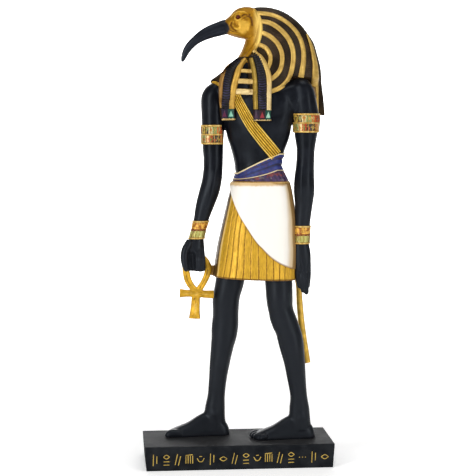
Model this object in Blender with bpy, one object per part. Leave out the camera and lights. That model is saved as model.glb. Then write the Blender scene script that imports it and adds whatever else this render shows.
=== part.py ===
"""Standing ibis-headed figure in a pleated kilt, one painted resin casting on a flat plinth.

The figure walks towards -X with its chest turned to -Y. Tables are in millimetres, the model in metres,
+Z up, and the origin is the middle of the plinth's underside.
"""
import math

import bmesh
import bpy
from mathutils import Vector
from mathutils.bvhtree import BVHTree

MM = 0.001
TAU = 2.0 * math.pi

# Driving dimensions of the plinth, which everything else stands on
PLINTH_LENGTH = 125.0
PLINTH_DEPTH = 52.0
PLINTH_HEIGHT = 16.1
PLINTH_DRAFT = 1.0
PLINTH_EDGE = 0.4
SEAT_GAP = 0.3
SOLE = PLINTH_HEIGHT + SEAT_GAP

# The chest is turned a little towards the walking direction: depth lost for each millimetre of width
CHEST_TURN = -0.22

# Upright forms: height, middle x, middle y, half width, half depth
TORSO = [
    (180.0, 15.7, 0.5, 18.0, 12.8), (188.5, 15.9, 0.4, 17.7, 12.9), (192.5, 15.5, 0.2, 16.0, 12.1),
    (197.5, 13.9, 0.1, 15.2, 11.7), (201.0, 13.7, 0.0, 15.3, 11.6), (209.0, 14.0, -0.3, 17.5, 12.3),
    (217.0, 14.1, -0.6, 20.2, 13.3), (225.0, 14.1, -1.0, 21.6, 14.1), (233.0, 14.5, -1.2, 23.1, 14.4),
    (240.0, 15.2, -1.0, 26.0, 14.1), (246.0, 16.0, -0.8, 28.0, 12.8), (251.5, 17.2, -0.2, 25.0, 10.4),
    (257.5, 19.2, 0.4, 15.0, 7.4),
]
NECK = [
    (240.0, 2.5, 0.0, 9.0, 10.0), (246.0, 1.0, 0.0, 12.6, 13.2), (251.0, 1.0, 0.0, 13.0, 13.2),
    (256.5, 1.3, 0.0, 12.3, 12.6), (262.0, 3.1, 0.0, 11.0, 11.6), (267.6, 8.2, 0.0, 8.6, 10.0),
    (274.5, 11.6, 0.0, 7.9, 8.6), (281.5, 13.8, 0.0, 7.8, 7.8), (286.0, 12.0, 0.0, 6.0, 7.0),
]
HEAD = [
    (281.6, 9.0, 0.0, 5.6, 6.6), (283.2, 6.1, 0.0, 9.0, 7.5), (285.6, 3.6, 0.0, 12.0, 8.4),
    (289.5, 2.8, 0.0, 12.7, 9.2), (293.4, 3.2, 0.0, 11.4, 9.0), (296.8, 4.6, 0.0, 9.2, 8.0),
    (299.8, 5.5, 0.0, 7.4, 6.4), (301.7, 6.0, 0.0, 4.8, 4.2), (302.6, 6.4, 0.0, 1.8, 1.6),
]
HOOD = [
    (231.4, 32.6, 8.0, 27.4, 7.6), (243.0, 30.8, 7.0, 28.0, 9.4), (251.5, 30.0, 5.4, 27.4, 10.8),
    (254.6, 29.7, 3.6, 27.2, 12.8), (256.8, 29.4, 1.6, 27.1, 15.0), (264.0, 29.5, 0.8, 26.0, 15.9),
    (272.0, 30.1, 0.5, 23.2, 15.5), (279.0, 29.3, 0.3, 21.8, 14.6), (285.5, 27.8, 0.2, 19.0, 13.3),
    (291.0, 26.0, 0.0, 16.4, 11.8), (295.6, 23.5, 0.0, 13.6, 9.9), (299.2, 20.7, 0.0, 10.6, 7.4),
    (301.4, 17.9, 0.0, 7.4, 4.6), (302.4, 16.4, 0.0, 3.4, 2.0),
]
FAR_LEG = [
    (136.0, -2.5, 5.4, 9.8, 8.2), (120.0, -4.2, 6.6, 9.8, 8.8), (109.2, -6.5, 7.5, 9.2, 8.8),
    (99.0, -6.8, 8.0, 8.7, 8.3), (91.0, -7.1, 8.0, 8.9, 8.0), (83.0, -7.9, 8.0, 8.5, 7.8),
    (75.0, -9.3, 8.1, 7.6, 7.4), (65.0, -10.8, 8.2, 6.8, 6.8), (54.0, -12.1, 8.4, 6.0, 6.0),
    (43.0, -13.2, 8.6, 5.9, 5.4), (34.0, -14.1, 8.8, 6.9, 5.6), (22.0, -14.6, 9.0, 7.5, 5.7),
]
NEAR_LEG = [
    (136.0, 26.6, -4.2, 9.7, 9.4), (121.0, 27.4, -5.6, 9.2, 9.2), (110.6, 27.8, -6.4, 8.9, 8.9),
    (104.0, 28.4, -6.5, 8.5, 8.4), (95.0, 31.3, -6.5, 8.9, 8.2), (86.0, 34.4, -6.5, 8.7, 8.0),
    (78.0, 36.1, -6.5, 8.2, 7.7), (67.5, 38.0, -6.5, 7.1, 6.8), (56.7, 39.4, -6.4, 6.3, 6.0),
    (45.0, 40.9, -6.3, 5.7, 5.4), (35.0, 41.5, -5.9, 6.9, 5.6), (22.0, 42.0, -5.6, 7.5, 5.7),
]
FAR_ARM = [
    (252.9, -12.4, 5.3, 2.6, 3.2), (251.8, -12.9, 5.4, 5.0, 5.2), (248.8, -13.8, 5.6, 7.2, 7.0),
    (243.0, -14.9, 5.9, 8.4, 8.4), (231.0, -15.2, 5.8, 7.9, 8.3), (221.0, -15.3, 5.3, 7.4, 7.5),
    (211.0, -15.5, 4.8, 7.0, 6.9),
    (200.0, -15.3, 4.3, 6.5, 6.5), (190.0, -16.1, 3.8, 6.7, 6.6), (181.0, -18.1, 3.3, 7.0, 6.5),
    (172.0, -20.9, 2.9, 6.4, 6.0), (163.0, -23.4, 2.4, 5.2, 5.0), (156.0, -25.2, 2.2, 4.6, 4.4),
    (151.0, -26.5, 2.0, 4.7, 4.4), (146.0, -27.7, 2.0, 6.2, 4.8), (139.0, -29.3, 2.0, 8.2, 5.4),
    (132.6, -28.9, 2.0, 7.9, 5.2), (128.6, -28.5, 2.0, 7.2, 4.6),
]
NEAR_ARM = [
    (256.0, 41.2, -7.4, 3.6, 4.6), (252.6, 42.0, -7.9, 6.2, 7.6), (247.0, 42.6, -8.0, 7.8, 8.8),
    (239.0, 43.6, -8.0, 8.5, 9.0), (229.0, 45.1, -8.0, 8.6, 8.4), (219.0, 44.9, -8.0, 7.6, 7.6),
    (209.0, 44.8, -8.0, 6.1, 6.7), (199.0, 44.4, -8.0, 6.1, 6.2), (190.0, 43.9, -8.0, 6.7, 6.5),
    (181.0, 43.9, -8.0, 6.9, 6.4), (171.0, 43.6, -8.0, 5.8, 5.6), (160.0, 42.8, -8.0, 5.2, 4.8),
    (148.0, 42.2, -8.0, 5.0, 4.1), (140.0, 42.8, -8.2, 5.8, 4.0), (128.5, 43.2, -8.8, 5.1, 3.3),
]
KILT = [
    (187.8, 16.1, 0.5, 19.2, 14.0), (180.0, 16.1, 0.4, 21.1, 15.4), (164.0, 15.4, 0.3, 24.1, 17.3),
    (144.0, 13.8, 0.2, 26.7, 18.9), (124.0, 12.3, 0.2, 27.9, 19.6),
]
SIDE_PANEL = [
    (244.6, 15.0, 0.6, 5.6, 14.2), (247.4, 17.4, 0.6, 11.6, 16.0), (251.0, 18.8, 0.6, 14.2, 16.9),
    (256.0, 20.6, 0.6, 16.8, 17.4), (263.0, 21.4, 0.6, 17.4, 16.8), (270.0, 21.0, 0.6, 17.0, 15.2),
]

# Grain of the fused skin, and the share of its faces that the finished casting keeps
FUSE_GRAIN = 0.5
FACE_SHARE = 0.0172

# Rounded tips: how far each closing ring stands out, as a share of the radius
TIP_REACH = (0.4, 0.75, 0.95)

# Raised bands: share of the width and share of the lift, and how far an edge may lie behind the middle
BAND_PROFILE = [(0.0, 0.3), (0.15, 0.9), (0.5, 1.0), (0.85, 0.9), (1.0, 0.3)]
EDGE_DROP = 2.5

# The wig where it lies on the far shoulder
FAR_PANEL = [
    (250.8, -4.4, 7.5, 9.8, 6.2), (252.8, -4.6, 7.5, 12.0, 7.2), (254.8, -4.6, 7.4, 12.0, 7.6),
    (256.8, -3.5, 7.3, 10.4, 8.0), (258.8, -1.8, 7.2, 9.4, 8.2), (261.5, 1.2, 6.8, 8.9, 8.6),
    (265.0, 5.8, 6.0, 8.2, 8.6),
]

# Pleats of the kilt, its hem that climbs towards -X, and the lighter cloth wrapped over it
PLEATS = 42
PLEAT_DEPTH = 1.2
HEM_TILT = 0.042
APRON_EDGE = [
    (-4.2, 185.3), (-2.6, 176.6), (1.3, 166.6), (7.3, 156.3), (12.5, 147.7), (18.5, 139.9), (25.1, 134.8),
    (32.4, 131.5), (38.0, 130.0),
]
APRON_TOP = 187.0
APRON_LIFT = 1.2

# Beak: points along its upper and its lower line in x and z, paired, and half its depth there
BEAK = [
    (-2.0, 295.0, -2.0, 285.0, 4.6), (-8.6, 294.1, -7.6, 284.2, 4.3), (-13.4, 292.4, -11.6, 283.2, 3.8),
    (-18.9, 290.1, -16.0, 282.1, 3.3), (-24.4, 286.9, -20.6, 280.5, 2.9), (-29.2, 282.7, -25.2, 278.2, 2.5),
    (-33.1, 278.5, -29.0, 275.0, 2.1), (-35.5, 274.3, -31.6, 271.8, 1.8), (-36.7, 269.7, -33.8, 268.2, 1.3),
    (-36.7, 266.9, -35.3, 266.2, 0.6),
]

# Raised gold bands of the wig: x and z along the middle, and the width there
WIG_ARCS = {
    "outer_arc": [
        (11.6, 298.2, 3.0), (21.4, 296.8, 3.0), (28.6, 293.8, 3.0), (34.8, 289.1, 3.0), (39.4, 283.2, 3.1),
        (42.0, 275.6, 3.3), (42.4, 266.9, 3.6), (40.9, 256.4, 4.2),
    ],
    "middle_arc": [
        (13.0, 292.6, 3.1), (20.4, 291.4, 3.2), (27.2, 287.0, 3.4), (32.6, 280.6, 3.5), (35.3, 273.0, 3.5),
        (35.1, 264.0, 3.5), (32.6, 255.8, 3.4), (27.6, 250.0, 3.2), (20.4, 246.8, 3.0),
    ],
    "inner_arc": [
        (13.4, 286.0, 3.2), (20.0, 282.9, 3.2), (25.4, 277.6, 3.2), (28.1, 270.6, 3.2), (27.4, 262.8, 3.2),
        (24.4, 257.8, 3.2), (20.0, 254.4, 3.0),
    ],
    "core_arc": [
        (12.2, 278.0, 3.0), (17.6, 275.3, 3.0), (20.4, 270.2, 3.0), (20.0, 264.9, 2.8), (18.4, 261.4, 2.6),
    ],
    "rear_band": [
        (45.2, 284.6, 1.0), (47.4, 279.0, 2.0), (49.0, 273.6, 3.0), (50.6, 265.6, 3.9), (51.0, 260.5, 4.9),
        (51.3, 254.7, 5.4), (51.7, 250.7, 5.4), (52.3, 246.8, 4.5), (53.0, 242.8, 3.3), (53.8, 238.0, 2.0),
        (54.4, 233.6, 1.1),
    ],
    "mantle_rim": [
        (10.2, 300.4, 2.6), (13.2, 295.8, 3.1), (14.4, 289.0, 3.4), (13.6, 282.0, 3.4), (11.2, 276.2, 3.4),
        (4.6, 268.4, 3.2),
    ],
}

# How far each kind of raised strip stands proud, and how deep the deeper ones reach in
ARC_LIFT = 0.9
ROPE_LIFT = 1.1
BORDER_LIFT = 0.7
TIP_LIFT = 0.8
BAR_LIFT = 1.8
BAR_SINK = 3.4
STRAP_LIFT = 1.4
STRAP_SINK = 3.0

# Lappets: height, left edge, right edge
LAPPET_NEAR = [
    (273.4, 9.4, 10.8), (271.6, 8.4, 12.6), (268.0, 7.0, 15.6), (262.0, 7.6, 19.4), (255.0, 8.5, 21.4),
    (246.0, 9.0, 21.3), (236.0, 9.3, 21.0), (227.6, 9.2, 20.9),
]
LAPPET_FAR = [
    (269.0, 1.0, 6.8), (265.0, -4.8, 3.9), (260.0, -8.8, 1.8), (254.6, -11.0, 0.4), (249.0, -12.1, -0.9),
    (242.0, -12.2, -1.7), (235.0, -11.5, -1.8), (228.2, -10.4, -1.7),
]
LAPPET_LIFT = 2.2
LAPPET_ROPES = [
    [(9.6, 271.6, 3.4), (12.0, 267.0, 5.0), (14.0, 259.5, 5.6), (14.8, 252.0, 5.8), (15.0, 245.9, 5.8),
     (15.1, 235.2, 5.8)],
    [(0.6, 267.3, 3.8), (-4.2, 262.7, 4.8), (-6.4, 258.2, 5.2), (-7.6, 250.5, 5.4), (-8.0, 235.6, 5.2)],
]
LAPPET_BORDERS = [
    [(9.8, 273.6, 2.4), (12.6, 270.6, 3.2), (15.5, 266.6, 3.6), (18.0, 261.2, 3.8), (19.3, 254.5, 3.8),
     (19.4, 243.5, 3.6), (19.2, 234.8, 3.6)],
    [(8.0, 268.5, 2.6), (9.2, 262.4, 3.0), (10.1, 255.3, 3.2), (10.6, 245.9, 3.2), (10.9, 235.4, 3.2)],
    [(5.2, 268.0, 3.4), (2.1, 265.0, 3.8), (-0.3, 260.2, 4.2), (-1.9, 254.6, 4.4), (-3.4, 249.2, 4.5),
     (-4.1, 241.8, 4.4), (-4.1, 235.8, 4.3)],
]
LAPPET_TIPS = [
    [(15.2, 234.6, 11.8), (15.2, 228.2, 11.6)],
    [(-6.2, 235.4, 8.6), (-6.0, 228.6, 8.5)],
]
# Bars of the collar between the lappets: left x, right x, height, width
COLLAR_BARS = [(1.7, 9.3, 260.2, 2.6), (-0.2, 9.6, 253.5, 3.4), (-1.6, 9.2, 246.8, 4.0)]

# Strap across the chest from the far shoulder to the near hip, in front and behind: x, z, width
STRAP_FRONT = [
    (-2.5, 245.4, 6.2), (-0.2, 241.0, 6.6), (7.1, 227.3, 7.5), (14.4, 217.5, 8.3), (21.5, 209.0, 8.5),
    (24.5, 205.4, 8.5),
]
STRAP_BACK = [
    (27.0, 203.4, 7.0), (18.0, 216.0, 7.0), (8.0, 230.0, 7.0), (-2.0, 243.5, 7.0), (-8.0, 250.0, 7.0),
]

# Sash round the waist: its lower edge is level, its upper edge climbs towards +X
SASH_LOW = 187.2
SASH_HIGH_LEFT = 193.4
SASH_HIGH_RIGHT = 206.4
SASH_LEFT = 1.0
SASH_RIGHT = 28.0
SASH_LIFT = 0.8
SASH_SINK = 3.0
CORD_LIFT = 0.6
CORD_WIDTH = 1.5
CORD_SINK = 3.4

# Gold bands round the arms: lowest and highest point along the arm, and how far they stand proud
ARM_BANDS = [("far", 212.4, 225.3), ("far", 149.8, 162.0), ("near", 220.2, 232.8), ("near", 146.8, 159.0)]
BAND_LIFT = 0.8
RIM_LIFT = 1.2
RIM_WIDTH = 1.3

# Hands: x, y, z and radius along each finger
NEAR_FINGERS = [
    [(39.9, -8.4, 134.0, 1.8), (39.8, -9.2, 126.0, 1.8), (40.8, -8.6, 118.6, 1.5)],
    [(42.4, -8.8, 134.0, 1.9), (42.5, -9.8, 125.0, 1.9), (43.2, -9.0, 115.8, 1.6)],
    [(45.0, -8.6, 134.0, 1.9), (45.2, -9.4, 124.0, 1.9), (45.6, -8.4, 114.4, 1.6)],
    [(47.2, -8.0, 134.0, 1.6), (47.1, -8.4, 126.0, 1.6), (46.8, -7.4, 118.6, 1.4)],
    [(39.4, -7.4, 144.0, 2.3), (38.4, -8.2, 137.0, 2.3), (38.2, -7.6, 130.6, 2.0), (39.2, -7.0, 126.4, 1.5)],
]
FAR_FINGERS = [
    [(-31.2, -1.0, 149.0, 2.4), (-34.4, -2.2, 142.5, 2.8), (-35.0, -3.0, 136.5, 2.6),
     (-33.9, -3.4, 130.6, 2.2)],
    [(-27.6, -2.6, 141.0, 1.7), (-27.4, -4.2, 136.0, 1.9), (-27.2, -3.6, 130.1, 1.7)],
    [(-24.9, -2.6, 141.0, 1.6), (-24.8, -4.3, 136.0, 1.8), (-24.7, -3.6, 130.0, 1.7)],
    [(-22.9, -2.4, 140.5, 1.4), (-22.6, -4.0, 136.0, 1.5), (-22.6, -3.4, 130.3, 1.5)],
]

# Ankh held by its loop, which leans on the kilt: x, z and width along each strand, and its thickness
ANKH_LOOP = [
    [(-26.6, 114.2, 4.2), (-30.2, 118.3, 4.5), (-32.5, 122.5, 4.8), (-33.5, 126.8, 4.8), (-34.3, 131.8, 4.2),
     (-34.4, 136.6, 3.6), (-31.4, 140.2, 3.6), (-27.0, 140.2, 3.4)],
    [(-26.4, 114.0, 4.2), (-23.8, 117.8, 4.3), (-22.0, 120.7, 4.2), (-20.2, 124.4, 4.4), (-18.9, 129.0, 4.8),
     (-19.4, 133.0, 4.2), (-21.4, 136.6, 3.4), (-25.0, 138.8, 3.2)],
]
ANKH_BAR = [
    (-38.0, 113.6, 6.0), (-33.4, 113.5, 4.8), (-27.0, 113.2, 4.8), (-21.6, 112.8, 5.0), (-15.4, 112.5, 5.6),
]
ANKH_STEM = [(-27.0, 113.9, 5.6), (-27.4, 108.0, 5.8), (-27.8, 102.0, 6.4), (-28.1, 96.5, 7.8)]
ANKH_WEB = [(-19.6, 129.0, 5.0), (-16.8, 128.8, 6.6), (-12.5, 128.0, 8.0)]
ANKH_Y = 2.0
ANKH_THICKNESS = 4.6

# Ceremonial tail that hangs from the back of the kilt beside the rear leg: x, z, width
TAIL = [
    (38.2, 129.6, 3.0), (41.4, 119.0, 3.6), (42.4, 106.0, 4.2), (43.6, 93.2, 4.3), (45.4, 80.1, 4.4),
    (47.6, 65.8, 4.6),
]
TAIL_Y = 1.4
TAIL_THICKNESS = 5.0

# Feet: distance from the heel, half width, height of the upper side over the sole
FOOT = [
    (0.0, 2.4, 3.4), (1.4, 4.2, 7.0), (4.5, 5.3, 11.0), (10.0, 5.5, 15.4), (16.0, 5.5, 15.4),
    (22.0, 5.9, 12.6), (28.0, 6.5, 8.8), (34.0, 6.9, 6.4), (38.0, 6.6, 4.8), (40.0, 5.6, 3.6),
]
TOES = [(-4.4, 43.9, 2.7), (-0.9, 43.2, 2.0), (1.9, 41.9, 1.9), (4.2, 40.3, 1.8), (6.0, 38.3, 1.7)]
TOE_ROOT = 33.0
# Heel x, heel y, toe y, and the direction of the little toe, far foot first
FEET = [(-4.4, 9.0, 7.6, 1.0), (52.0, -5.2, -6.6, -1.0)]


def curve_rows(keys, steps):
    """Rows on a smooth curve through the keys, with so many steps from key to key."""
    last = len(keys) - 1
    rows = []
    for index in range(last):
        span = [keys[min(max(index + offset, 0), last)] for offset in (-1, 0, 1, 2)]
        for step in range(steps):
            t = step / steps
            row = []
            for a, b, c, d in zip(*span):
                bend = 2.0 * a - 5.0 * b + 4.0 * c - d
                twist = 3.0 * b - a - 3.0 * c + d
                row.append(0.5 * (2.0 * b + (c - a) * t + bend * t ** 2 + twist * t ** 3))
            rows.append(tuple(row))
    rows.append(tuple(keys[last]))
    return rows


def row_at(keys, value):
    """The keys' row at a value of their first column, between two keys."""
    ordered = sorted(keys)
    value = min(max(value, ordered[0][0]), ordered[-1][0])
    for low, high in zip(ordered, ordered[1:]):
        if value <= high[0]:
            share = (value - low[0]) / (high[0] - low[0])
            return [a + (b - a) * share for a, b in zip(low, high)]
    return list(ordered[-1])


def oval(turn, power):
    """A point on a rounded unit outline: power 2 is a circle, a higher one is squarer."""
    x = math.copysign(abs(math.cos(turn)) ** (2.0 / power), math.cos(turn))
    y = math.copysign(abs(math.sin(turn)) ** (2.0 / power), math.sin(turn))
    return x, y


def loft(name, sections, sides, place):
    """A closed body drawn out from its first section's ring to the last one's.

    place(section, share) gives the point at that share of the way round the ring, in millimetres.
    """
    bm = bmesh.new()
    share = bm.verts.layers.float.new("share")
    ring = bmesh.ops.create_circle(bm, cap_ends=True, segments=sides, radius=1.0)["verts"]
    for index, vert in enumerate(ring):
        vert[share] = index / sides
        vert.co = place(sections[0], vert[share])
    rim = list(bm.edges)
    for section in sections[1:]:
        grown = bmesh.ops.extrude_edge_only(bm, edges=rim)["geom"]
        rim = [item for item in grown if isinstance(item, bmesh.types.BMEdge) and item.is_boundary]
        for item in grown:
            if isinstance(item, bmesh.types.BMVert):
                item.co = place(section, item[share])
    bmesh.ops.edgeloop_fill(bm, edges=rim)
    bmesh.ops.recalc_face_normals(bm, faces=bm.faces)
    bmesh.ops.scale(bm, vec=(MM, MM, MM), verts=bm.verts)
    mesh = bpy.data.meshes.new(name)
    bm.to_mesh(mesh)
    bm.free()
    return bpy.data.objects.new(name, mesh)


def upright(name, keys, sides, power=2.0, slope=0.0, rear_power=None, steps=3):
    """A form of level rings, each an oval, sheared in depth by the slope."""
    def place(row, share):
        z, x, y, half_width, half_depth = row
        turn = TAU * share
        squareness = rear_power if rear_power and math.cos(turn) > 0.0 else power
        across, deep = oval(turn, squareness)
        return Vector((x + half_width * across, y + half_depth * deep + slope * half_width * across, z))
    return loft(name, curve_rows(keys, steps), sides, place)


def tube(name, keys, sides, floor=0.0):
    """A round form along x, y, z and radius: a flat start inside another form, and a rounded tip."""
    rows = curve_rows(keys, 3)
    points = [Vector(row[:3]) for row in rows]
    rings = []
    for index, point in enumerate(points):
        along = points[min(index + 1, len(points) - 1)] - points[max(index - 1, 0)]
        rings.append((point, along.normalized(), rows[index][3]))
    end = (points[-1] - points[-2]).normalized()
    tip = rows[-1][3]
    for reach in TIP_REACH:
        rings.append((points[-1] + end * tip * reach, end, tip * math.sqrt(1.0 - reach ** 2)))

    def place(ring, share):
        middle, along, radius = ring
        side = along.cross(Vector((0.0, 1.0, 0.0))).normalized()
        lift = side.cross(along)
        turn = TAU * share
        point = middle + radius * (side * math.cos(turn) + lift * math.sin(turn))
        point.z = max(point.z, floor)
        return point
    return loft(name, rings, sides, place)


def plate(name, keys, middle_y, thickness, steps=3):
    """A flat bar of x, z and width along its middle line, with rounded long edges."""
    rows = curve_rows(keys, steps)
    sections = []
    for index, row in enumerate(rows):
        ahead = rows[min(index + 1, len(rows) - 1)]
        behind = rows[max(index - 1, 0)]
        along = Vector((ahead[0] - behind[0], 0.0, ahead[1] - behind[1])).normalized()
        sections.append((Vector((row[0], middle_y, row[1])), Vector((-along.z, 0.0, along.x)), row[2] / 2.0))

    def place(section, share):
        middle, side, half_width = section
        across, deep = oval(TAU * share, 3.0)
        return middle + side * half_width * across + Vector((0.0, thickness / 2.0 * deep, 0.0))
    return loft(name, sections, 12, place)


def surface_finder(forms):
    """A function that gives the point and the outward direction on the forms, seen along Y."""
    trees = []
    for form in forms:
        bm = bmesh.new()
        bm.from_mesh(form.data)
        trees.append(BVHTree.FromBMesh(bm))
        bm.free()
    reach = 0.1

    def find(x, z, side):
        start = Vector((x * MM, side * reach, z * MM))
        best = None
        for tree in trees:
            point, normal, index, distance = tree.ray_cast(start, Vector((0.0, -side, 0.0)))
            if point is not None and (best is None or distance < best[2]):
                best = (point / MM, normal, distance)
        return best
    return find


def band(name, rails, find, lift, sink=1.6, side=-1.0):
    """A raised band between pairs of points of x and z, on the forms' side towards -Y or +Y."""
    sections = []
    middle = None
    for left, right in rails:
        centre = (left + right) / 2.0
        middle = find(centre.x, centre.y, side) or middle
        deepest = side * middle[0].y - EDGE_DROP
        hits = []
        for share, rise in BAND_PROFILE:
            spot = left.lerp(right, share)
            point, normal, distance = find(spot.x, spot.y, side) or middle
            depth = side * max(side * point.y, deepest)
            hits.append((Vector((spot.x, depth, spot.y)), normal, rise))
        outward = sum((normal for point, normal, rise in hits), Vector()).normalized()
        outward = (outward + Vector((0.0, side, 0.0))).normalized()
        upper = [point + outward * lift * rise for point, normal, rise in hits]
        lower = [hits[0][0] - outward * sink, hits[-1][0] - outward * sink]
        sections.append(upper + lower[::-1])

    def place(section, share):
        return section[round(share * len(section)) % len(section)]
    return loft(name, sections, len(BAND_PROFILE) + 2, place)


def strip(name, keys, find, lift, sink=1.6, side=-1.0):
    """A raised band of x, z and width along its middle line."""
    keys = curve_rows(keys, 3)
    rails = []
    for index, (x, z, width) in enumerate(keys):
        ahead = keys[min(index + 1, len(keys) - 1)]
        behind = keys[max(index - 1, 0)]
        along = Vector((ahead[0] - behind[0], ahead[1] - behind[1])).normalized()
        across = Vector((along.y, -along.x)) * width / 2.0
        rails.append((Vector((x, z)) - across, Vector((x, z)) + across))
    return band(name, rails, find, lift, sink, side)


def kilt():
    """The wrapped kilt, with sharp pleats that deepen towards the hem."""
    waist, hem = KILT[0][0], KILT[-1][0]

    def place(row, share):
        z, x, y, half_width, half_depth = row
        across, deep = oval(TAU * share, 2.2)
        ridge = 1.0 if round(share * 2 * PLEATS) % 2 else -1.0
        opened = (waist - z) / (waist - hem)
        swing = 1.0 + PLEAT_DEPTH * ridge * opened / 2.0 / half_width
        aside = half_width * across * swing
        return Vector((x + aside, y + half_depth * deep * swing, z - HEM_TILT * aside * opened))
    return loft("kilt", curve_rows(KILT, 3), 2 * PLEATS, place)


def on_kilt(x, z, side, lift):
    """A point on the kilt's smooth outer surface at a share of its half width, lifted outwards."""
    row = row_at(KILT, z)
    turn = math.acos(max(-1.0, min(1.0, (x - row[1]) / row[3])))
    across, deep = oval(turn, 2.2)
    return Vector((row[1] + (row[3] + lift) * across, row[2] + side * (row[4] + lift) * deep, z))


def apron():
    """The light cloth over the front and the +X side of the kilt, cut on a long curve."""
    levels = 9
    columns = curve_rows(APRON_EDGE, 3)

    def place(column, share):
        x, low = column
        index = round(share * 2 * levels)
        inner = index >= levels
        step = (2 * levels - 1 - index) if inner else index
        z = low + (APRON_TOP - low) * step / (levels - 1)
        start = row_at(KILT, low)
        spread = (x - start[1]) / start[3]
        row = row_at(KILT, z)
        return on_kilt(row[1] + spread * row[3], z, -1.0, -1.6 if inner else APRON_LIFT)
    return loft("apron", columns, 2 * levels, place)


def waist_ring(name, low, high, lift, sink):
    """A band round the torso from one height function of x to another, sunk in at both edges."""
    steps = [(0.0, -sink), (0.0, lift), (1.0, lift), (1.0, -sink)]

    def place(step, share):
        level, out = step
        across, deep = oval(TAU * share, 2.2)
        x = 15.4 + 16.4 * across
        z = low(x) + (high(x) - low(x)) * level
        row = row_at(TORSO, z)
        half_width, half_depth = row[3] + out, row[4] + out
        shear = CHEST_TURN * half_width * across
        return Vector((row[1] + half_width * across, row[2] + half_depth * deep + shear, z))
    return loft(name, steps, 44, place)


def sash_top(x):
    """Height of the sash's upper edge, which climbs from the far side to the near one."""
    share = (x - SASH_LEFT) / (SASH_RIGHT - SASH_LEFT)
    share = min(max(share, 0.0), 1.0)
    return SASH_HIGH_LEFT + (SASH_HIGH_RIGHT - SASH_HIGH_LEFT) * share


def arm_band(name, arm, low, high):
    """A gold band with raised rims, round an arm."""
    steps = [
        (low, -1.5), (low, RIM_LIFT), (low + RIM_WIDTH, BAND_LIFT), (high - RIM_WIDTH, BAND_LIFT),
        (high, RIM_LIFT), (high, -1.5),
    ]

    def place(step, share):
        z, out = step
        row = row_at(arm, z)
        across, deep = oval(TAU * share, 2.0)
        return Vector((row[1] + (row[3] + out) * across, row[2] + (row[4] + out) * deep, z))
    return loft(name, steps, 28, place)


def foot(name, heel_x, heel_y, toe_y, outer):
    """A bare foot that points to -X, with five toes; outer is the direction of the little toe."""
    length = TOES[0][1]

    def place(row, share):
        along, half_width, height = row
        across, up = oval(TAU * share, 2.4)
        y = heel_y + (toe_y - heel_y) * along / length
        return Vector((heel_x - along, y + half_width * across, SOLE + max(0.0, height * up)))
    forms = [loft(name, curve_rows(FOOT, 2), 20, place)]
    for index, (offset, tip, radius) in enumerate(TOES):
        y = toe_y + outer * offset
        keys = [
            (heel_x - TOE_ROOT, y, SOLE + 2.2, radius), (heel_x - tip + 1.7 * radius, y, SOLE + 2.4, radius),
            (heel_x - tip + radius, y, SOLE + 1.2, radius),
        ]
        forms.append(tube(f"{name}_toe_{index + 1}", keys, 12, SOLE))
    return forms


def block(name, length, depth, low, high):
    """A box in the middle of the model, from one height to another."""
    bm = bmesh.new()
    bmesh.ops.create_cube(bm, size=1.0)
    bmesh.ops.scale(bm, vec=(length, depth, high - low), verts=bm.verts)
    bmesh.ops.translate(bm, vec=(0.0, 0.0, (high + low) / 2.0), verts=bm.verts)
    bmesh.ops.scale(bm, vec=(MM, MM, MM), verts=bm.verts)
    mesh = bpy.data.meshes.new(name)
    bm.to_mesh(mesh)
    bm.free()
    return bpy.data.objects.new(name, mesh)


def beak():
    """The long bill, which curves down from the face to a blunt point."""
    def place(row, share):
        upper = Vector((row[0], 0.0, row[1]))
        lower = Vector((row[2], 0.0, row[3]))
        turn = TAU * share
        middle = (upper + lower) / 2.0
        return middle + (upper - lower) / 2.0 * math.sin(turn) + Vector((0.0, row[4] * math.cos(turn), 0.0))
    return loft("beak", curve_rows(BEAK, 3), 18, place)


def lappet(name, keys, find):
    """One of the two strips of the wig that fall over the chest."""
    rails = [(Vector((left, z)), Vector((right, z))) for z, left, right in curve_rows(keys, 3)]
    return band(name, rails, find, LAPPET_LIFT, sink=3.6)


def material(name, colour, roughness):
    """A plain painted finish."""
    finish = bpy.data.materials.new(name)
    finish.use_nodes = True
    shader = finish.node_tree.nodes["Principled BSDF"]
    shader.inputs["Base Color"].default_value = (*colour, 1.0)
    shader.inputs["Roughness"].default_value = roughness
    return finish


def body_forms():
    """Limbs, head and hands."""
    forms = [
        upright("neck", NECK, 28, power=2.3),
        upright("head", HEAD, 32, rear_power=3.6),
        beak(),
        upright("hood", HOOD, 44),
        upright("side_panel", SIDE_PANEL, 36, power=3.0),
        upright("far_panel", FAR_PANEL, 28),
        upright("far_arm", FAR_ARM, 24),
        upright("near_arm", NEAR_ARM, 24),
        upright("far_leg", FAR_LEG, 24),
        upright("near_leg", NEAR_LEG, 24),
    ]
    for name, fingers in (("near_finger", NEAR_FINGERS), ("far_finger", FAR_FINGERS)):
        for index, keys in enumerate(fingers):
            forms.append(tube(f"{name}_{index + 1}", keys, 12))
    for name, (heel_x, heel_y, toe_y, outer) in zip(("far_foot", "near_foot"), FEET):
        forms += foot(name, heel_x, heel_y, toe_y, outer)
    return forms


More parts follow.
